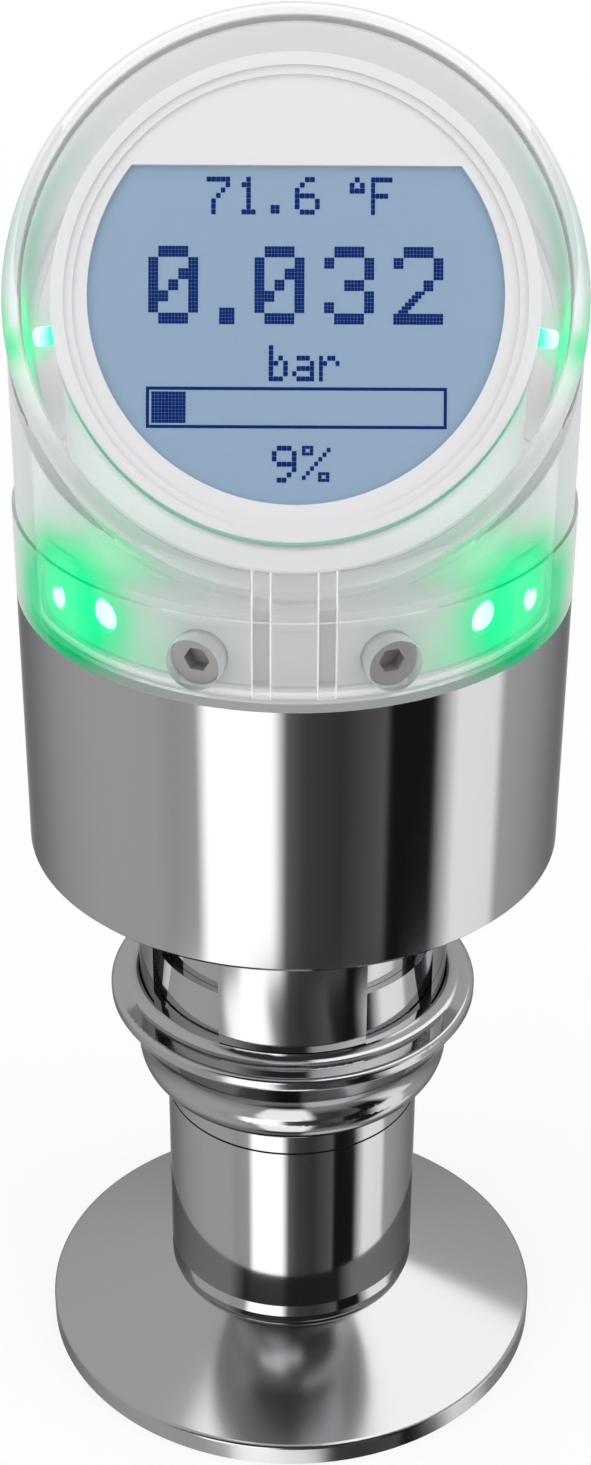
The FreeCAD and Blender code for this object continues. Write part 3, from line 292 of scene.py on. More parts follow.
# How much of the painted green light line, and of the gloss, shows.
LINE_SHARE = 0.75
GLOSS_SHARE = 0.22
CAP_WHITE = "#F5F5F7"


def between(limits):
    """The socket values of a range that starts and ends at two places, in mm."""
    return {"From Min": limits[0] * MM, "From Max": limits[1] * MM}


def cap_zones(tree):
    """Sockets that say where a point of the cap lies, on the sensor and on the display's face."""
    spot = add_node(tree, "ShaderNodeTexCoord")
    place = add_node(tree, "ShaderNodeSeparateXYZ", links={"Vector": spot.outputs["Object"]})
    facing = add_node(tree, "ShaderNodeMapping", {"vector_type": "TEXTURE"},
                      {"Location": ELBOW, "Rotation": (LEAN, 0, 0)}, {"Vector": spot.outputs["Object"]})
    face = add_node(tree, "ShaderNodeSeparateXYZ", links={"Vector": facing.outputs["Vector"]})
    flat = add_node(tree, "ShaderNodeVectorMath", MULTIPLY, {1: (1, 1, 0)}, {0: facing.outputs["Vector"]})
    radius = add_node(tree, "ShaderNodeVectorMath", {"operation": "LENGTH"},
                      links={0: flat.outputs["Vector"]})
    behind = add_node(tree, "ShaderNodeMapRange", values=between(WINDOW_BACK),
                      links={"Value": face.outputs["Z"]})
    outside = add_node(tree, "ShaderNodeMapRange", values=between(WINDOW_SIDE),
                       links={"Value": radius.outputs["Value"]})
    return {"place": place.outputs, "face": face.outputs, "radius": radius.outputs["Value"],
            "behind": behind.outputs["Result"], "outside": outside.outputs["Result"]}


def rib_edges(tree, place):
    """The pale edges by which the two locating ribs behind the front of the skirt show."""
    mirrored_x = add_node(tree, "ShaderNodeMath", ABSOLUTE, links={0: place["X"]})
    across = off_middle(tree, mirrored_x.outputs["Value"], RIB_MIDDLE, RIB_HALF_WIDTH)
    upright = off_middle(tree, place["Z"], RIB_MIDDLE_HEIGHT, RIB_HALF_HEIGHT)
    beyond = add_node(tree, "ShaderNodeMath", MAXIMUM, links={0: across, 1: upright})
    from_edge = add_node(tree, "ShaderNodeMath", ABSOLUTE, links={0: beyond.outputs["Value"]})
    outline = add_node(tree, "ShaderNodeMapRange", values={**between((RIB_LINE, 0.0)), "To Max": RIB_MILK},
                       links={"Value": from_edge.outputs["Value"]})
    in_front = add_node(tree, "ShaderNodeMapRange", values=between(RIB_FRONT), links={"Value": place["Y"]})
    edges = add_node(tree, "ShaderNodeMath", MULTIPLY,
                     links={0: outline.outputs["Result"], 1: in_front.outputs["Result"]})
    return edges.outputs["Value"]


def wall_haze(tree, zones):
    """How milky the walls are: most where they are seen edge on, at their ends and at the ribs."""
    edge = add_node(tree, "ShaderNodeLayerWeight", values={"Blend": EDGE_BLEND})
    milk = add_node(tree, "ShaderNodeMapRange",
                    values={"From Max": EDGE_FULL, "To Min": FACING_MILK, "To Max": EDGE_MILK},
                    links={"Value": edge.outputs["Facing"]})
    # The front end of the barrel's wall is looked at along its whole length.
    front = add_node(tree, "ShaderNodeMath", SUBTRACT_CLAMPED,
                     links={0: zones["outside"], 1: zones["behind"]})
    upper = add_node(tree, "ShaderNodeMapRange", SOFT, {**between(RING_RISE), "To Max": RING_MILK},
                     {"Value": zones["face"]["Y"]})
    ring = add_node(tree, "ShaderNodeMath", MULTIPLY,
                    links={0: front.outputs["Value"], 1: upper.outputs["Result"]})
    # So is the lip at the foot of the skirt.
    foot = add_node(tree, "ShaderNodeMapRange", SOFT, {**between(FOOT_FALL), "To Max": FOOT_MILK},
                    {"Value": zones["place"]["Z"]})
    ends = add_node(tree, "ShaderNodeMath", MAXIMUM,
                    links={0: ring.outputs["Value"], 1: foot.outputs["Result"]})
    pale = add_node(tree, "ShaderNodeMath", MAXIMUM,
                    links={0: ends.outputs["Value"], 1: rib_edges(tree, zones["place"])})
    haze = add_node(tree, "ShaderNodeMath", MAXIMUM,
                    links={0: milk.outputs["Result"], 1: pale.outputs["Value"]})
    return haze.outputs["Value"]


def window_scatter(tree, zones, glow):
    """How much light the plastic scatters near the lamps, and at the window's edge below the display."""
    bloom = add_node(tree, "ShaderNodeMath", MULTIPLY, {1: GLOW_MILK}, {0: glow})
    beside = add_node(tree, "ShaderNodeMapRange", SOFT, between(LIP_SIDE), {"Value": zones["radius"]})
    low = add_node(tree, "ShaderNodeMapRange", SOFT, {**between(LIP_FALL), "To Max": LIP_MILK},
                   {"Value": zones["face"]["Y"]})
    ring = add_node(tree, "ShaderNodeMath", SUBTRACT_CLAMPED,
                    links={0: beside.outputs["Result"], 1: zones["outside"]})
    lip = add_node(tree, "ShaderNodeMath", MULTIPLY,
                   links={0: ring.outputs["Value"], 1: low.outputs["Result"]})
    scatter = add_node(tree, "ShaderNodeMath", MAXIMUM,
                       links={0: bloom.outputs["Value"], 1: lip.outputs["Value"]})
    return scatter.outputs["Value"]


def painted_green_line(tree, zones):
    """Painted green light: a thin teal line at the lower edge of the display's ring, where that edge takes
    up the lamps' green light.
    """
    off_line = off_middle(tree, zones["radius"], LINE_RADIUS, 0.0)
    thin = add_node(tree, "ShaderNodeMapRange", values={**between((LINE_HALF, 0.0)), "To Max": LINE_SHARE},
                    links={"Value": off_line})
    in_window = add_node(tree, "ShaderNodeMath", SUBTRACT_CLAMPED, {0: 1.0}, {1: zones["behind"]})
    lower_half = add_node(tree, "ShaderNodeMapRange", SOFT, between(LINE_FALL),
                          {"Value": zones["face"]["Y"]})
    drawn = add_node(tree, "ShaderNodeMath", MULTIPLY,
                     links={0: in_window.outputs["Value"], 1: lower_half.outputs["Result"]})
    line = add_node(tree, "ShaderNodeMath", MULTIPLY,
                    links={0: thin.outputs["Result"], 1: drawn.outputs["Value"]})
    return line.outputs["Value"]


def clear_cap_plastic():
    """Moulded polycarbonate: the window is clear, and the walls bend light and are a little milky."""
    material = new_material("clear_polycarbonate", CAP_WHITE, Roughness=0.3, Specular_IOR_Level=0.15)
    tree = material.node_tree
    glow = green_lit(material, CAP_WHITE, CAP_LAMPS, CAP_WASHES)
    zones = cap_zones(tree)
    wall = add_node(tree, "ShaderNodeMath", MAXIMUM, links={0: zones["behind"], 1: zones["outside"]})
    # Shadows and scattered light go straight through.
    paths = add_node(tree, "ShaderNodeLightPath")
    straight = add_node(tree, "ShaderNodeMath", MAXIMUM,
                        links={0: paths.outputs["Is Shadow Ray"], 1: paths.outputs["Is Diffuse Ray"]})
    bending = add_node(tree, "ShaderNodeMath", SUBTRACT_CLAMPED,
                       links={0: wall.outputs["Value"], 1: straight.outputs["Value"]})
    wall_cloud = add_node(tree, "ShaderNodeMath", MULTIPLY,
                          links={0: wall_haze(tree, zones), 1: bending.outputs["Value"]})
    lit_cloud = add_node(tree, "ShaderNodeMath", SUBTRACT_CLAMPED,
                         links={0: window_scatter(tree, zones, glow), 1: straight.outputs["Value"]})
    cloud = add_node(tree, "ShaderNodeMath", MAXIMUM,
                     links={0: wall_cloud.outputs["Value"], 1: lit_cloud.outputs["Value"]})
    through = add_node(tree, "ShaderNodeBsdfTransparent", values={"Color": grey(0.98)})
    bent = add_node(tree, "ShaderNodeBsdfRefraction", values={"Roughness": 0.0, "IOR": 1.25})
    clear = add_node(tree, "ShaderNodeMixShader",
                     links={0: bending.outputs["Value"], 1: through.outputs["BSDF"],
                            2: bent.outputs["BSDF"]})
    body = add_node(tree, "ShaderNodeMixShader",
                    links={0: cloud.outputs["Value"], 1: clear.outputs["Shader"],
                           2: principled(material).outputs["BSDF"]})
    gloss = add_node(tree, "ShaderNodeBsdfGlossy", values={"Roughness": 0.03})
    rim = add_node(tree, "ShaderNodeFresnel", values={"IOR": 1.4})
    sheen = add_node(tree, "ShaderNodeMath", MULTIPLY, {1: GLOSS_SHARE}, {0: rim.outputs["Fac"]})
    polished = add_node(tree, "ShaderNodeMixShader",
                        links={0: sheen.outputs["Value"], 1: body.outputs["Shader"],
                               2: gloss.outputs["BSDF"]})
    pale = add_node(tree, "ShaderNodeEmission", values={"Color": hex_colour("#DFFFF6"), "Strength": 1.1})
    spotted = add_node(tree, "ShaderNodeMixShader",
                       links={0: lamp_glow(tree, SKIRT_SPOTS), 1: polished.outputs["Shader"],
                              2: pale.outputs["Emission"]})
    # Painted green light: a teal line along the lower edge of the display's ring.
    green_light_line = add_node(tree, "ShaderNodeBsdfDiffuse", values={"Color": hex_colour("#3E9C7C")})
    lined = add_node(tree, "ShaderNodeMixShader",
                     links={0: painted_green_line(tree, zones), 1: spotted.outputs["Shader"],
                            2: green_light_line.outputs["BSDF"]})
    tree.links.new(lined.outputs["Shader"], tree.nodes["Material Output"].inputs["Surface"])
    return material


FRAME_WHITE = "#ECEBEC"
# Heights in mm between which the foot of the inner frame gets darker.
FRAME_SHADE_FALL = (132, 124)


def inner_frame_plastic():
    """White plastic of the inner frame, which carries the lamps and takes up their light."""
    material = new_material("lit_white_plastic", FRAME_WHITE, Roughness=0.42, Specular_IOR_Level=0.15)
    green_lit(material, FRAME_WHITE, FRAME_LAMPS, FRAME_WASHES)
    # Its foot is shaded by the thick walls around it.
    tree = material.node_tree
    base = principled(material).inputs["Base Color"]
    spot = add_node(tree, "ShaderNodeTexCoord")
    place = add_node(tree, "ShaderNodeSeparateXYZ", links={"Vector": spot.outputs["Object"]})
    foot = add_node(tree, "ShaderNodeMapRange", values=between(FRAME_SHADE_FALL),
                    links={"Value": place.outputs["Z"]})
    shaded = add_node(tree, "ShaderNodeMix", {"data_type": "RGBA", "blend_type": "MULTIPLY"},
                      {"B": hex_colour("#BDBCBD")},
                      {"Factor": foot.outputs["Result"], "A": base.links[0].from_socket})
    tree.links.new(shaded.outputs["Result"], base)
    return material


def lit_lens():
    """Green lamp lenses, lit: a pale core with a green rim."""
    material = new_material("lit_green_lens", "#10A060", Roughness=0.3, Emission_Strength=2.5)
    tree = material.node_tree
    bright = add_node(tree, "ShaderNodeMix", MIX_COLOURS,
                      {"A": hex_colour("#00E890"), "B": hex_colour("#D8FFF6")},
                      {"Factor": lamp_glow(tree, CORES)})
    tree.links.new(bright.outputs["Result"], principled(material).inputs["Emission Color"])
    return material


# Steel mirrors a little less at flat angles than a perfect metal.
EDGE_TINT = hex_colour("#A8A8AA")
# Stainless steel 1.4404, turned and mirror polished: sharp upright reflections, hardly any tint.
polished_stainless = new_material("polished_stainless_steel", "#C8C8CA", Metallic=1.0, Roughness=0.07,
                                  Specular_Tint=EDGE_TINT)
turned_lines(polished_stainless, pitch_mm=0.5, height_mm=0.00004)
# Stainless steel 1.4404, fine turned: the same metal with softer, blurred reflections.
satin_stainless = new_material("fine_turned_stainless_steel", "#C6C6C8", Metallic=1.0, Roughness=0.13,
                               Specular_Tint=EDGE_TINT)
turned_lines(satin_stainless, pitch_mm=0.3, height_mm=0.00006)
# Stainless steel of socket screws, cold formed: dull and light.
screw_steel = new_material("cold_formed_stainless_steel", "#ABA8A6", Metallic=0.6, Roughness=0.6)
# Brass under a nickel plate: warm grey metal with soft gloss.
nickel_brass = new_material("nickel_plated_brass", "#BFBAB0", Metallic=1.0, Roughness=0.2)
# Plain machined brass.
plain_brass = new_material("machined_brass", "#C9A55C", Metallic=1.0, Roughness=0.3)
# Contacts with a thin gold plate.
gold_plate = new_material("gold_plated_contact", "#D9B25E", Metallic=1.0, Roughness=0.2)
# EPDM rubber, moulded: black and dull.
black_seal = new_material("epdm_rubber", "#101011", Roughness=0.55)
# Silicone rubber without filler: pale and a little milky.
clear_seal = new_material("clear_silicone", "#D9DCDC", Roughness=0.4)
# Polyamide with glass fibre, moulded: dull black.
black_plastic = new_material("black_polyamide", "#151516", Roughness=0.5)
# Glass fibre board under a green solder mask: satin.
circuit_board = new_material("green_solder_mask", "#0F5A38", Roughness=0.35)
# Sintered PTFE: porous and white.
filter_membrane = new_material("sintered_ptfe", "#E4E4E2", Roughness=0.8)
# White polycarbonate blend, moulded: fine matte.
white_plastic = new_material("white_moulded_plastic", "#E5E4E5", Roughness=0.42)
# Front polariser of a liquid crystal display over its backlight: even blue grey under a gloss sheet.
lcd_glass = new_material("lcd_polariser", "#91A9C1", Roughness=0.25)
# Liquid crystal dots switched dark: an even deep blue.
lcd_dots = new_material("lcd_dark_crystal", "#02286C", Roughness=0.6, Specular_IOR_Level=0.1)

FINISHES = {
    "polished_stainless": polished_stainless,
    "satin_stainless": satin_stainless,
    "screw_steel": screw_steel,
    "nickel_brass": nickel_brass,
    "brass": plain_brass,
    "gold_plate": gold_plate,
    "black_seal": black_seal,
    "clear_seal": clear_seal,
    "black_plastic": black_plastic,
    "circuit_board": circuit_board,
    "filter_membrane": filter_membrane,
    "clear_polycarbonate": clear_cap_plastic(),
    "white_plastic": white_plastic,
    "green_light": lit_lens(),
    "lcd_glass": lcd_glass,
}
slot_of = {part["node"]: part["material_slot"] for part in frame["record"]["subparts"]}
for name, node in nodes.items():
    node.data.materials.clear()
    node.data.materials.append(FINISHES[slot_of[name]])
nodes["display_carrier"].data.materials[0] = inner_frame_plastic()

# Dot patterns of the characters on the display, row by row from the top.
GLYPHS = {
    "0": [".###.", "#...#", "#..##", "#.#.#", "##..#", "#...#", ".###."],
    "1": [".#.", "##.", ".#.", ".#.", ".#.", ".#.", "###"],
    "2": [".###.", "#...#", "....#", "...#.", ".....", ".....", "#####"],
    "slope": [".....###", "....###.", "...###..", "..###...", ".###....", "###....."],
    "3": [".###.", "#...#", "....#", "..##.", "....#", "#...#", ".###."],
    "6": ["..##.", ".#...", "#....", "####.", "#...#", "#...#", ".###."],
    "7": ["#####", "....#", "...#.", "..#..", ".#...", ".#...", ".#..."],
    "9": [".###.", "#...#", "#...#", ".####", "....#", "...#.", ".##.."],
    "F": ["#####", "#....", "#....", "####.", "#....", "#....", "#...."],
    "a": [".###.", "....#", ".####", "#...#", ".####"],
    "b": ["#...", "#...", "#.#.", "##.#", "#..#", "#..#", "###."],
    "r": ["#.##.", "##..#", "#....", "#....", "#...."],
    "degree": [".#.", "#.#", "###"],
    "slash": ["......#", ".....#.", "....#..", "...#...", "..#....", ".#.....", "#......"],
    "ring": ["###", "#.#", "###"],
    "point": ["##", "##"],
    "stop": ["#####", "#####", "#####", "#####", "#####"],
    "fill": ["##########"] * 9,
}
# Each character: its pattern, its left and top in mm from the display's middle, the dots' pitch in mm
# across and down, and the dots along each side of a cell of the pattern.
LINES = [
    ("7", -9.25, 12.72, 0.49, 0.555, 1),
    ("1", -5.65, 12.72, 0.49, 0.555, 1),
    ("point", -2.65, 9.85, 0.47, 0.46, 1),
    ("6", -0.18, 12.72, 0.52, 0.555, 1),
    ("degree", 5.45, 12.72, 0.53, 0.57, 1),
    ("F", 7.66, 12.72, 0.444, 0.555, 1),
    ("0", -15.2, 5.62, 0.343, 0.38, 3),
    ("stop", -7.9, -0.68, 0.318, 0.343, 1),
    ("0", -4.27, 5.62, 0.343, 0.38, 3),
    ("3", 2.9, 5.62, 0.343, 0.38, 3),
    ("2", 10.02, 5.62, 0.343, 0.38, 3),
    ("slope", 10.53, 1.06, 0.343, 0.38, 1),
    ("b", -2.78, -4.5, 0.497, 0.532, 1),
    ("a", -0.36, -5.56, 0.456, 0.532, 1),
    ("r", 2.4, -5.56, 0.425, 0.532, 1),
    ("fill", -14.85, -9.3, 0.355, 0.36, 1),
    ("9", -2.42, -14.8, 0.515, 0.547, 1),
    ("ring", 0.68, -14.8, 0.4, 0.34, 1),
    ("slash", 0.68, -15.0, 0.425, 0.476, 1),
    ("ring", 2.35, -17.5, 0.4, 0.34, 1),
]
# A dot's width over its pitch, the cut of its corners over its width, and its lift over the glass.
DOT_FILL = 0.96
DOT_CORNER = 0.14
DOT_LIFT = 0.02 * MM
# The outline of the bar graph in mm: its middle, its width, its height and its line.
BAR_X = 0.1
BAR_Y = -10.93
BAR_WIDTH = 31.0
BAR_HEIGHT = 4.25
BAR_LINE = 0.33


def dark_dot():
    """One dot of the display, a square with its corners cut, one unit wide and flat."""
    bpy.ops.object.select_all(action="DESELECT")
    bpy.ops.mesh.primitive_plane_add(size=1.0)
    dot = bpy.context.object
    bpy.ops.object.mode_set(mode="EDIT")
    bpy.ops.mesh.select_all(action="SELECT")
    bpy.ops.mesh.bevel(offset=DOT_CORNER, segments=2, affect="VERTICES")
    bpy.ops.object.mode_set(mode="OBJECT")
    return dot


def dot_places():
    """Middle, width and height of every dark dot on the display, in mm."""
    places = []
    for glyph, left, top, across, down, cells in LINES:
        for row, line in enumerate(GLYPHS[glyph]):
            for column, mark in enumerate(line):
                if mark != "#":
                    continue
                for i in range(cells):
                    for j in range(cells):
                        x = left + (column * cells + i + 0.5) * across
                        y = top - (row * cells + j + 0.5) * down
                        places.append((x, y, across * DOT_FILL, down * DOT_FILL))
    return places


def on_display(x, y, width, height):
    """Place and size of a flat unit square on the display, from mm."""
    lifted = Matrix.Translation((x * MM, y * MM, LCD_FRONT + DOT_LIFT))
    return FACE @ lifted @ Matrix.Diagonal((width * MM, height * MM, 1, 1))


def settle(piece, name, material, body):
    """The piece's place goes into its mesh, and it takes its name, finish and body."""
    bpy.ops.object.select_all(action="DESELECT")
    piece.select_set(True)
    bpy.context.view_layer.objects.active = piece
    bpy.ops.object.transform_apply(location=True, rotation=True, scale=True)
    piece.name = name
    piece.data.materials.clear()
    piece.data.materials.append(material)
    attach(piece, body)


dot = dark_dot()
copies = []
for x, y, width, height in dot_places():
    copy = dot.copy()
    copy.data = dot.data.copy()
    bpy.context.collection.objects.link(copy)
    copy.matrix_world = on_display(x, y, width, height)
    copies.append(copy)
bpy.ops.object.select_all(action="DESELECT")
for copy in copies:
    copy.select_set(True)
bpy.context.view_layer.objects.active = copies[0]
bpy.ops.object.join()
bpy.data.objects.remove(dot)
settle(copies[0], "display_dots", lcd_dots, "head")

# Outline of the bar graph: a flat frame about as wide as one dot.
bpy.ops.object.select_all(action="DESELECT")
bpy.ops.mesh.primitive_plane_add(size=1.0)
bar = bpy.context.object
bar.matrix_world = on_display(BAR_X, BAR_Y, BAR_WIDTH, BAR_HEIGHT)
bpy.ops.object.transform_apply(location=True, rotation=True, scale=True)
bpy.ops.object.mode_set(mode="EDIT")
bpy.ops.mesh.select_all(action="SELECT")
bpy.ops.mesh.inset(thickness=BAR_LINE * MM, use_boundary=True)
bpy.ops.mesh.delete(type="FACE")
bpy.ops.object.mode_set(mode="OBJECT")
settle(bar, "display_bar_frame", lcd_dots, "head")

# Turned pieces: vertices closer than this are one, a turn has so many steps, and flatter edges are smooth.
SAME_PLACE = 0.001 * MM
TURN_STEPS = 48
SMOOTH_ANGLE = math.radians(30)


def drawn_line(points):
    """A line of vertices in the XZ plane: each point is its distance from Z and its height, in mm."""
    bpy.ops.object.select_all(action="DESELECT")
    bpy.ops.mesh.primitive_plane_add(size=MM)
    bpy.ops.object.mode_set(mode="EDIT")
    bpy.ops.mesh.select_all(action="SELECT")
    bpy.ops.mesh.merge(type="CENTER")
    bpy.ops.transform.translate(value=(points[0][0] * MM, 0, points[0][1] * MM))
    for (radius, height), (next_radius, next_height) in zip(points, points[1:]):
        step = ((next_radius - radius) * MM, 0, (next_height - height) * MM)
        bpy.ops.mesh.extrude_vertices_move(TRANSFORM_OT_translate={"value": step})
    bpy.ops.mesh.select_all(action="SELECT")
    bpy.ops.mesh.remove_doubles(threshold=SAME_PLACE)
    bpy.ops.object.mode_set(mode="OBJECT")
    return bpy.context.object


def swept(line, turns, pitch):
    """The line turned about Z, rising by the pitch in mm with each turn, its ends closed."""
    bpy.ops.object.modifier_add(type="SCREW")
    sweep = line.modifiers[-1]
    sweep.iterations = turns
    sweep.screw_offset = pitch * MM
    sweep.steps = TURN_STEPS
    sweep.render_steps = TURN_STEPS
    sweep.use_merge_vertices = True
    sweep.merge_threshold = SAME_PLACE
    bpy.ops.object.modifier_apply(modifier=sweep.name)
    bpy.ops.object.mode_set(mode="EDIT")
    bpy.ops.mesh.select_all(action="SELECT")
    bpy.ops.mesh.fill_holes(sides=0)
    bpy.ops.mesh.normals_make_consistent(inside=False)
    bpy.ops.object.mode_set(mode="OBJECT")
    return line


# The connector's shell with its M12 thread, drawn along Z from the outer face of its flange, in mm.
thread = next(mount for mount in frame["record"]["mounts"] if mount["name"] == "connector_thread")
CREST = thread["dims"]["r_mm"]
MOUTH = thread["dims"]["length_mm"]
ROOT = 5.4
BORE = 4.4
SHANK = 5.8
TAIL = -12.0
FLANGE = 8.3
FLANGE_BASE = -2.2
CHAMFER = 0.3
core = swept(drawn_line([
    (BORE, MOUTH),
    (BORE, TAIL),
    (SHANK, TAIL),
    (SHANK, FLANGE_BASE),
    (FLANGE, FLANGE_BASE),
    (FLANGE, -CHAMFER),
    (FLANGE - CHAMFER, 0),
    (ROOT, 0),
    (ROOT, MOUTH - CHAMFER),
    (ROOT - CHAMFER, MOUTH),
    (BORE, MOUTH),
]), turns=1, pitch=0)
# The thread's ridge: it starts inside the flange, its foot is sunk a little into the core.
PITCH = 1.0
RIDGE_TURNS = 10
RIDGE_START = -0.9
RIDGE_FOOT = ROOT - 0.05
CREST_START = RIDGE_START + 0.36
CREST_END = RIDGE_START + 0.5
RIDGE_END = RIDGE_START + 0.86
ridge = swept(drawn_line([
    (RIDGE_FOOT, RIDGE_START),
    (CREST, CREST_START),
    (CREST, CREST_END),
    (RIDGE_FOOT, RIDGE_END),
    (RIDGE_FOOT, RIDGE_START),
]), turns=RIDGE_TURNS, pitch=PITCH)
bpy.ops.object.select_all(action="DESELECT")
ridge.select_set(True)
core.select_set(True)
bpy.context.view_layer.objects.active = core
bpy.ops.object.join()
bpy.ops.object.shade_smooth_by_angle(angle=SMOOTH_ANGLE)
flange_face = Vector(thread["pos_m"]) - Vector((0, MOUTH / 2 * MM, 0))
core.matrix_world = Matrix.Translation(flange_face) @ Matrix.Rotation(math.radians(-90), 4, "X")
settle(core, "threaded_connector_shell", nickel_brass, "head")
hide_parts("connector_shell")


def seen_by_camera(tree):
    """One for what the camera sees, also through the clear plastic, and zero for all other light."""
    paths = add_node(tree, "ShaderNodeLightPath")
    seen = add_node(tree, "ShaderNodeMath", MAXIMUM,
                    links={0: paths.outputs["Is Camera Ray"], 1: paths.outputs["Is Transmission Ray"]})
    return seen.outputs["Value"]


# The floor in metres, and the share of plain white in what the camera sees of it near the sensor.
FLOOR_SIZE = 6.0
WHITE_START = 0.15
WHITE_FULL = 0.6
NEAR_WHITE = 0.8


def floor_paper():
    """White paper, lit up where the camera sees it, so that only the sensor's shadow stays on it."""
    material = new_material("white_paper_floor", "#F4F4F4", Roughness=0.9)
    tree = material.node_tree
    place = add_node(tree, "ShaderNodeTexCoord")
    away = add_node(tree, "ShaderNodeVectorMath", {"operation": "LENGTH"},
                    links={0: place.outputs["Object"]})
    whole = add_node(tree, "ShaderNodeMapRange", SOFT,
                     {"From Min": WHITE_START, "From Max": WHITE_FULL, "To Min": NEAR_WHITE},
                     {"Value": away.outputs["Value"]})
    share = add_node(tree, "ShaderNodeMath", MULTIPLY,
                     links={0: seen_by_camera(tree), 1: whole.outputs["Result"]})
    white = add_node(tree, "ShaderNodeEmission", values={"Color": grey(1.0), "Strength": 1.0})
    paper = add_node(tree, "ShaderNodeMixShader",
                     links={0: share.outputs["Value"], 1: principled(material).outputs["BSDF"],
                            2: white.outputs["Emission"]})
    tree.links.new(paper.outputs["Shader"], tree.nodes["Material Output"].inputs["Surface"])
    return material


# Studio: a pale floor, a white backdrop for the camera, soft lamps, and bands for the steel to mirror.
bpy.ops.object.select_all(action="DESELECT")
bpy.ops.mesh.primitive_plane_add(size=FLOOR_SIZE, location=(0, 0, 0))
floor = bpy.context.object
floor.name = "studio_floor"
floor.visible_glossy = False
floor.data.materials.append(floor_paper())

# Soft square lamps that point at the sensor: name, place and width in metres, and power in watts.
SOFTBOXES = [
    ("top_softbox", Vector((-0.1, -0.05, 1.1)), 0.8, 3.4),
    ("left_softbox", Vector((-0.85, -0.6, 0.45)), 0.6, 2.4),
    ("right_softbox", Vector((0.85, -0.5, 0.45)), 0.6, 2.4),
]
LAMP_AIM = Vector((0, 0, 0.09))
for name, place, width, watts in SOFTBOXES:
    bpy.ops.object.light_add(type="AREA", location=place)
    lamp = bpy.context.object
    lamp.name = name
    lamp.data.shape = "SQUARE"
    lamp.data.size = width
    lamp.data.energy = watts
    lamp.visible_glossy = False
    lamp.rotation_euler = (LAMP_AIM - place).to_track_quat("-Z", "Y").to_euler()

# What the steel mirrors. Sight lines are measured by X, Y and Z from -1 to 1, by how far they point to the
# viewer, and by their turn about Z, which is 0.5 towards the viewer and grows towards the right.

# Azimuth in degrees from the viewer towards the right, with the grey level of the studio there.
BANDS = [(-179, 0.5), (-90, 0.52), (-60, 0.5), (-52, 0.44), (-41, 0.47), (-36, 1.8), (-9, 1.8),
         (-3, 0.16), (5, 0.07), (20, 0.05), (38, 0.13), (41, 0.012), (60, 0.012), (72, 1.2), (93, 1.2),
         (98, 0.55), (179, 0.5)]
# The bands do not stand quite upright: their shift in degrees at each height of the sight line.
DRIFT = [(-0.99, -16), (-0.70, -16), (-0.685, 0), (-0.622, 0), (-0.584, 16), (-0.581, 0), (-0.01, 0)]
NO_DRIFT = 0.5
# Straight below, the bands run together into an even grey between two heights.
BELOW_START = -0.82
BELOW_FULL = -0.95
BELOW_GREY = 0.36
# White cards, each by its soft edges: what is measured, where the card starts and where it is full.
LOW_CARD = [("turn", 0.41, 0.43), ("turn", 0.56, 0.53), ("Z", -0.69, -0.72), ("Z", -0.97, -0.91)]
LOW_CARD_WHITE = 1.4
RIGHT_CARD = [("X", 0.12, 0.25), ("Z", 0.55, 0.62)]
LEFT_CARD = [("X", -0.10, -0.18), ("X", -0.32, -0.24), ("Z", 0.90, 0.95)]
# Above the horizon it is even grey, and dark towards the viewer.
HORIZON = {"From Min": -0.14, "From Max": 0.03}
VIEWER_SIDE = {"From Min": 0.55, "From Max": 0.75, "To Min": 0.55, "To Max": 0.04}
# The studio's soft light comes from the viewer's side and is dimmer behind the sensor.
SOFT_LIGHT = {"From Min": -0.2, "From Max": 0.8, "To Min": 0.96, "To Max": 0.5}
SOFT_LIGHT_COLOUR = (0.9, 0.9, 0.91, 1.0)


def sight_line(tree):
    """Sockets that say where a sight line points."""
    direction = add_node(tree, "ShaderNodeTexCoord")
    axes = add_node(tree, "ShaderNodeSeparateXYZ", links={"Vector": direction.outputs["Generated"]})
    viewer = add_node(tree, "ShaderNodeMath", MULTIPLY, {1: -1.0}, {0: axes.outputs["Y"]})
    angle = add_node(tree, "ShaderNodeMath", {"operation": "ARCTAN2"},
                     links={0: axes.outputs["X"], 1: viewer.outputs["Value"]})
    turn = add_node(tree, "ShaderNodeMapRange", values={"From Min": -math.pi, "From Max": math.pi},
                    links={"Value": angle.outputs["Value"]})
    return {"X": axes.outputs["X"], "Y": axes.outputs["Y"], "Z": axes.outputs["Z"],
            "viewer": viewer.outputs["Value"], "turn": turn.outputs["Result"]}


def fill_ramp(ramp, stops):
    """Greys on a colour ramp: each stop is its place from 0 to 1 and its level."""
    elements = ramp.color_ramp.elements
    elements[0].color = grey(stops[0][1])
    elements[1].color = grey(stops[-1][1])
    for place, level in stops:
        elements.new(place).color = grey(level)


def card(tree, sight, edges):
    """How far a sight line lies inside the soft edges of a card."""
    inside = None
    for measure, start, full in edges:
        within = add_node(tree, "ShaderNodeMapRange", SOFT, {"From Min": start, "From Max": full},
                          {"Value": sight[measure]})
        both = add_node(tree, "ShaderNodeMath", MULTIPLY, {1: 1.0}, {0: within.outputs["Result"]})
        if inside:
            tree.links.new(inside.outputs["Value"], both.inputs[1])
        inside = both
    return inside.outputs["Value"]


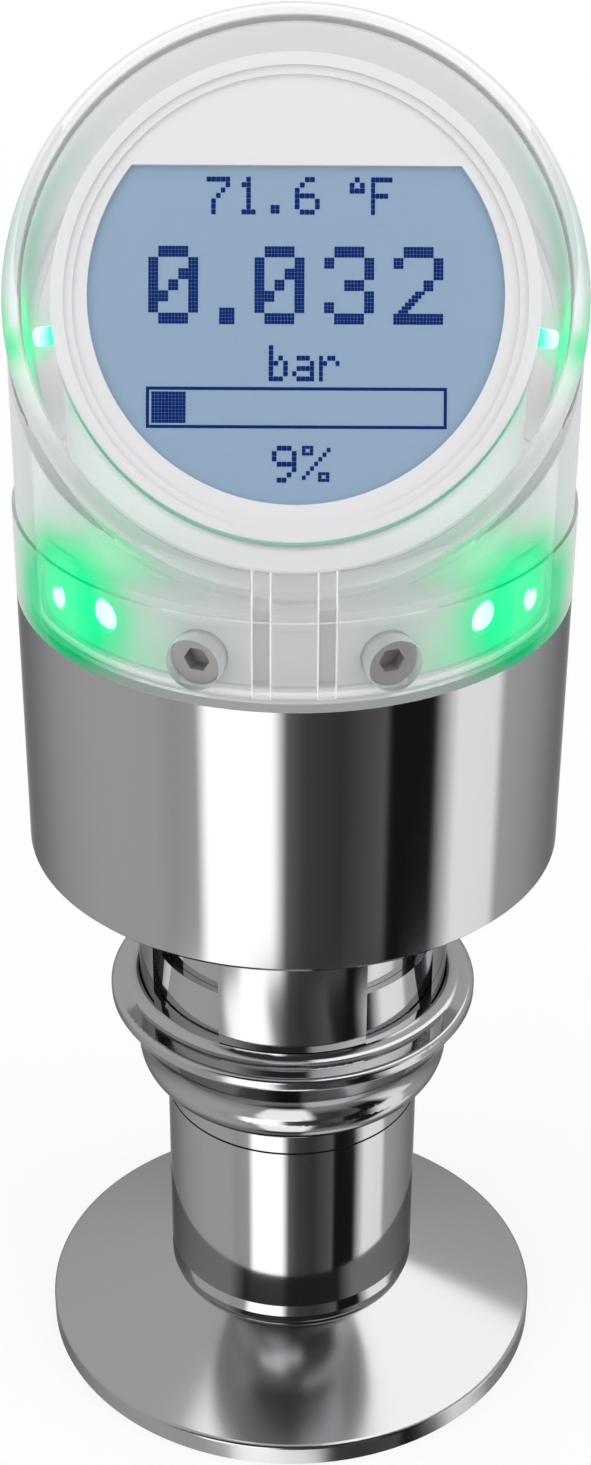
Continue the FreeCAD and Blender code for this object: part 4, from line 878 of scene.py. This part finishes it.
def lower_studio(tree, sight):
    """What is mirrored from below the horizon: the bands, even grey straight below, and a card in front."""
    rise = add_node(tree, "ShaderNodeMath", ADD, {1: 1.0}, {0: sight["Z"]})
    drift = add_node(tree, "ShaderNodeValToRGB", links={"Fac": rise.outputs["Value"]})
    fill_ramp(drift, [(level + 1, NO_DRIFT + degrees / 360) for level, degrees in DRIFT])
    shift = add_node(tree, "ShaderNodeMath", SUBTRACT, {1: NO_DRIFT}, {0: drift.outputs["Color"]})
    turned = add_node(tree, "ShaderNodeMath", ADD, links={0: sight["turn"], 1: shift.outputs["Value"]})
    bands = add_node(tree, "ShaderNodeValToRGB", links={"Fac": turned.outputs["Value"]})
    fill_ramp(bands, [((degrees + 180) / 360, level) for degrees, level in BANDS])
    below = add_node(tree, "ShaderNodeMapRange", values={"From Min": BELOW_START, "From Max": BELOW_FULL},
                     links={"Value": sight["Z"]})
    even = add_node(tree, "ShaderNodeMix", MIX_COLOURS, {"B": grey(BELOW_GREY)},
                    {"Factor": below.outputs["Result"], "A": bands.outputs["Color"]})
    lower = add_node(tree, "ShaderNodeMix", MIX_COLOURS, {"B": grey(LOW_CARD_WHITE)},
                     {"Factor": card(tree, sight, LOW_CARD), "A": even.outputs["Result"]})
    return lower.outputs["Result"]


def upper_studio(tree, sight):
    """What is mirrored from above the horizon: grey, and a white card at the right and at the left."""
    plain = add_node(tree, "ShaderNodeMapRange", values=VIEWER_SIDE, links={"Value": sight["viewer"]})
    cards = add_node(tree, "ShaderNodeMath", ADD,
                     links={0: card(tree, sight, RIGHT_CARD), 1: card(tree, sight, LEFT_CARD)})
    upper = add_node(tree, "ShaderNodeMath", ADD,
                     links={0: plain.outputs["Result"], 1: cards.outputs["Value"]})
    return upper.outputs["Value"]


world = bpy.data.worlds.new("studio")
bpy.context.scene.world = world
world.use_nodes = True
tree = world.node_tree
tree.nodes.clear()
sight = sight_line(tree)
above = add_node(tree, "ShaderNodeMapRange", values=HORIZON, links={"Value": sight["Z"]})
around = add_node(tree, "ShaderNodeMix", MIX_COLOURS,
                  links={"Factor": above.outputs["Result"], "A": lower_studio(tree, sight),
                         "B": upper_studio(tree, sight)})
mirrored = add_node(tree, "ShaderNodeBackground", values={"Strength": 1.0},
                    links={"Color": around.outputs["Result"]})
rear = add_node(tree, "ShaderNodeMapRange", SOFT, SOFT_LIGHT, {"Value": sight["Y"]})
studio = add_node(tree, "ShaderNodeBackground", values={"Color": SOFT_LIGHT_COLOUR},
                  links={"Strength": rear.outputs["Result"]})
paths = add_node(tree, "ShaderNodeLightPath")
lighting = add_node(tree, "ShaderNodeMixShader",
                    links={0: paths.outputs["Is Glossy Ray"], 1: studio.outputs["Background"],
                           2: mirrored.outputs["Background"]})
backdrop = add_node(tree, "ShaderNodeBackground", values={"Color": grey(1.0), "Strength": 1.0})
surroundings = add_node(tree, "ShaderNodeMixShader",
                        links={0: seen_by_camera(tree), 1: lighting.outputs["Shader"],
                               2: backdrop.outputs["Background"]})
add_node(tree, "ShaderNodeOutputWorld", links={"Surface": surroundings.outputs["Shader"]})

# Camera at the photograph's view: in front and above, looking down by 33 degrees, and turned a little
# about its sight line.
EYE = (0, -0.27574, 0.24929)
LENS_MM = 66.24
SENSOR_MM = 36.0
SHIFT_X = 0.0016
SHIFT_Y = 0.1016
ROLL = math.radians(0.27)
NEAREST = 0.01
bpy.ops.object.camera_add(location=EYE)
camera = bpy.context.object
camera.data.lens = LENS_MM
camera.data.sensor_width = SENSOR_MM
camera.data.shift_x = SHIFT_X
camera.data.shift_y = SHIFT_Y
camera.data.clip_start = NEAREST
look = Euler((math.radians(90) - LOOK_DOWN, 0, 0)).to_matrix() @ Matrix.Rotation(ROLL, 3, "Z")
camera.rotation_euler = look.to_euler()
bpy.context.scene.camera = camera
bpy.context.scene.view_settings.view_transform = "Standard"
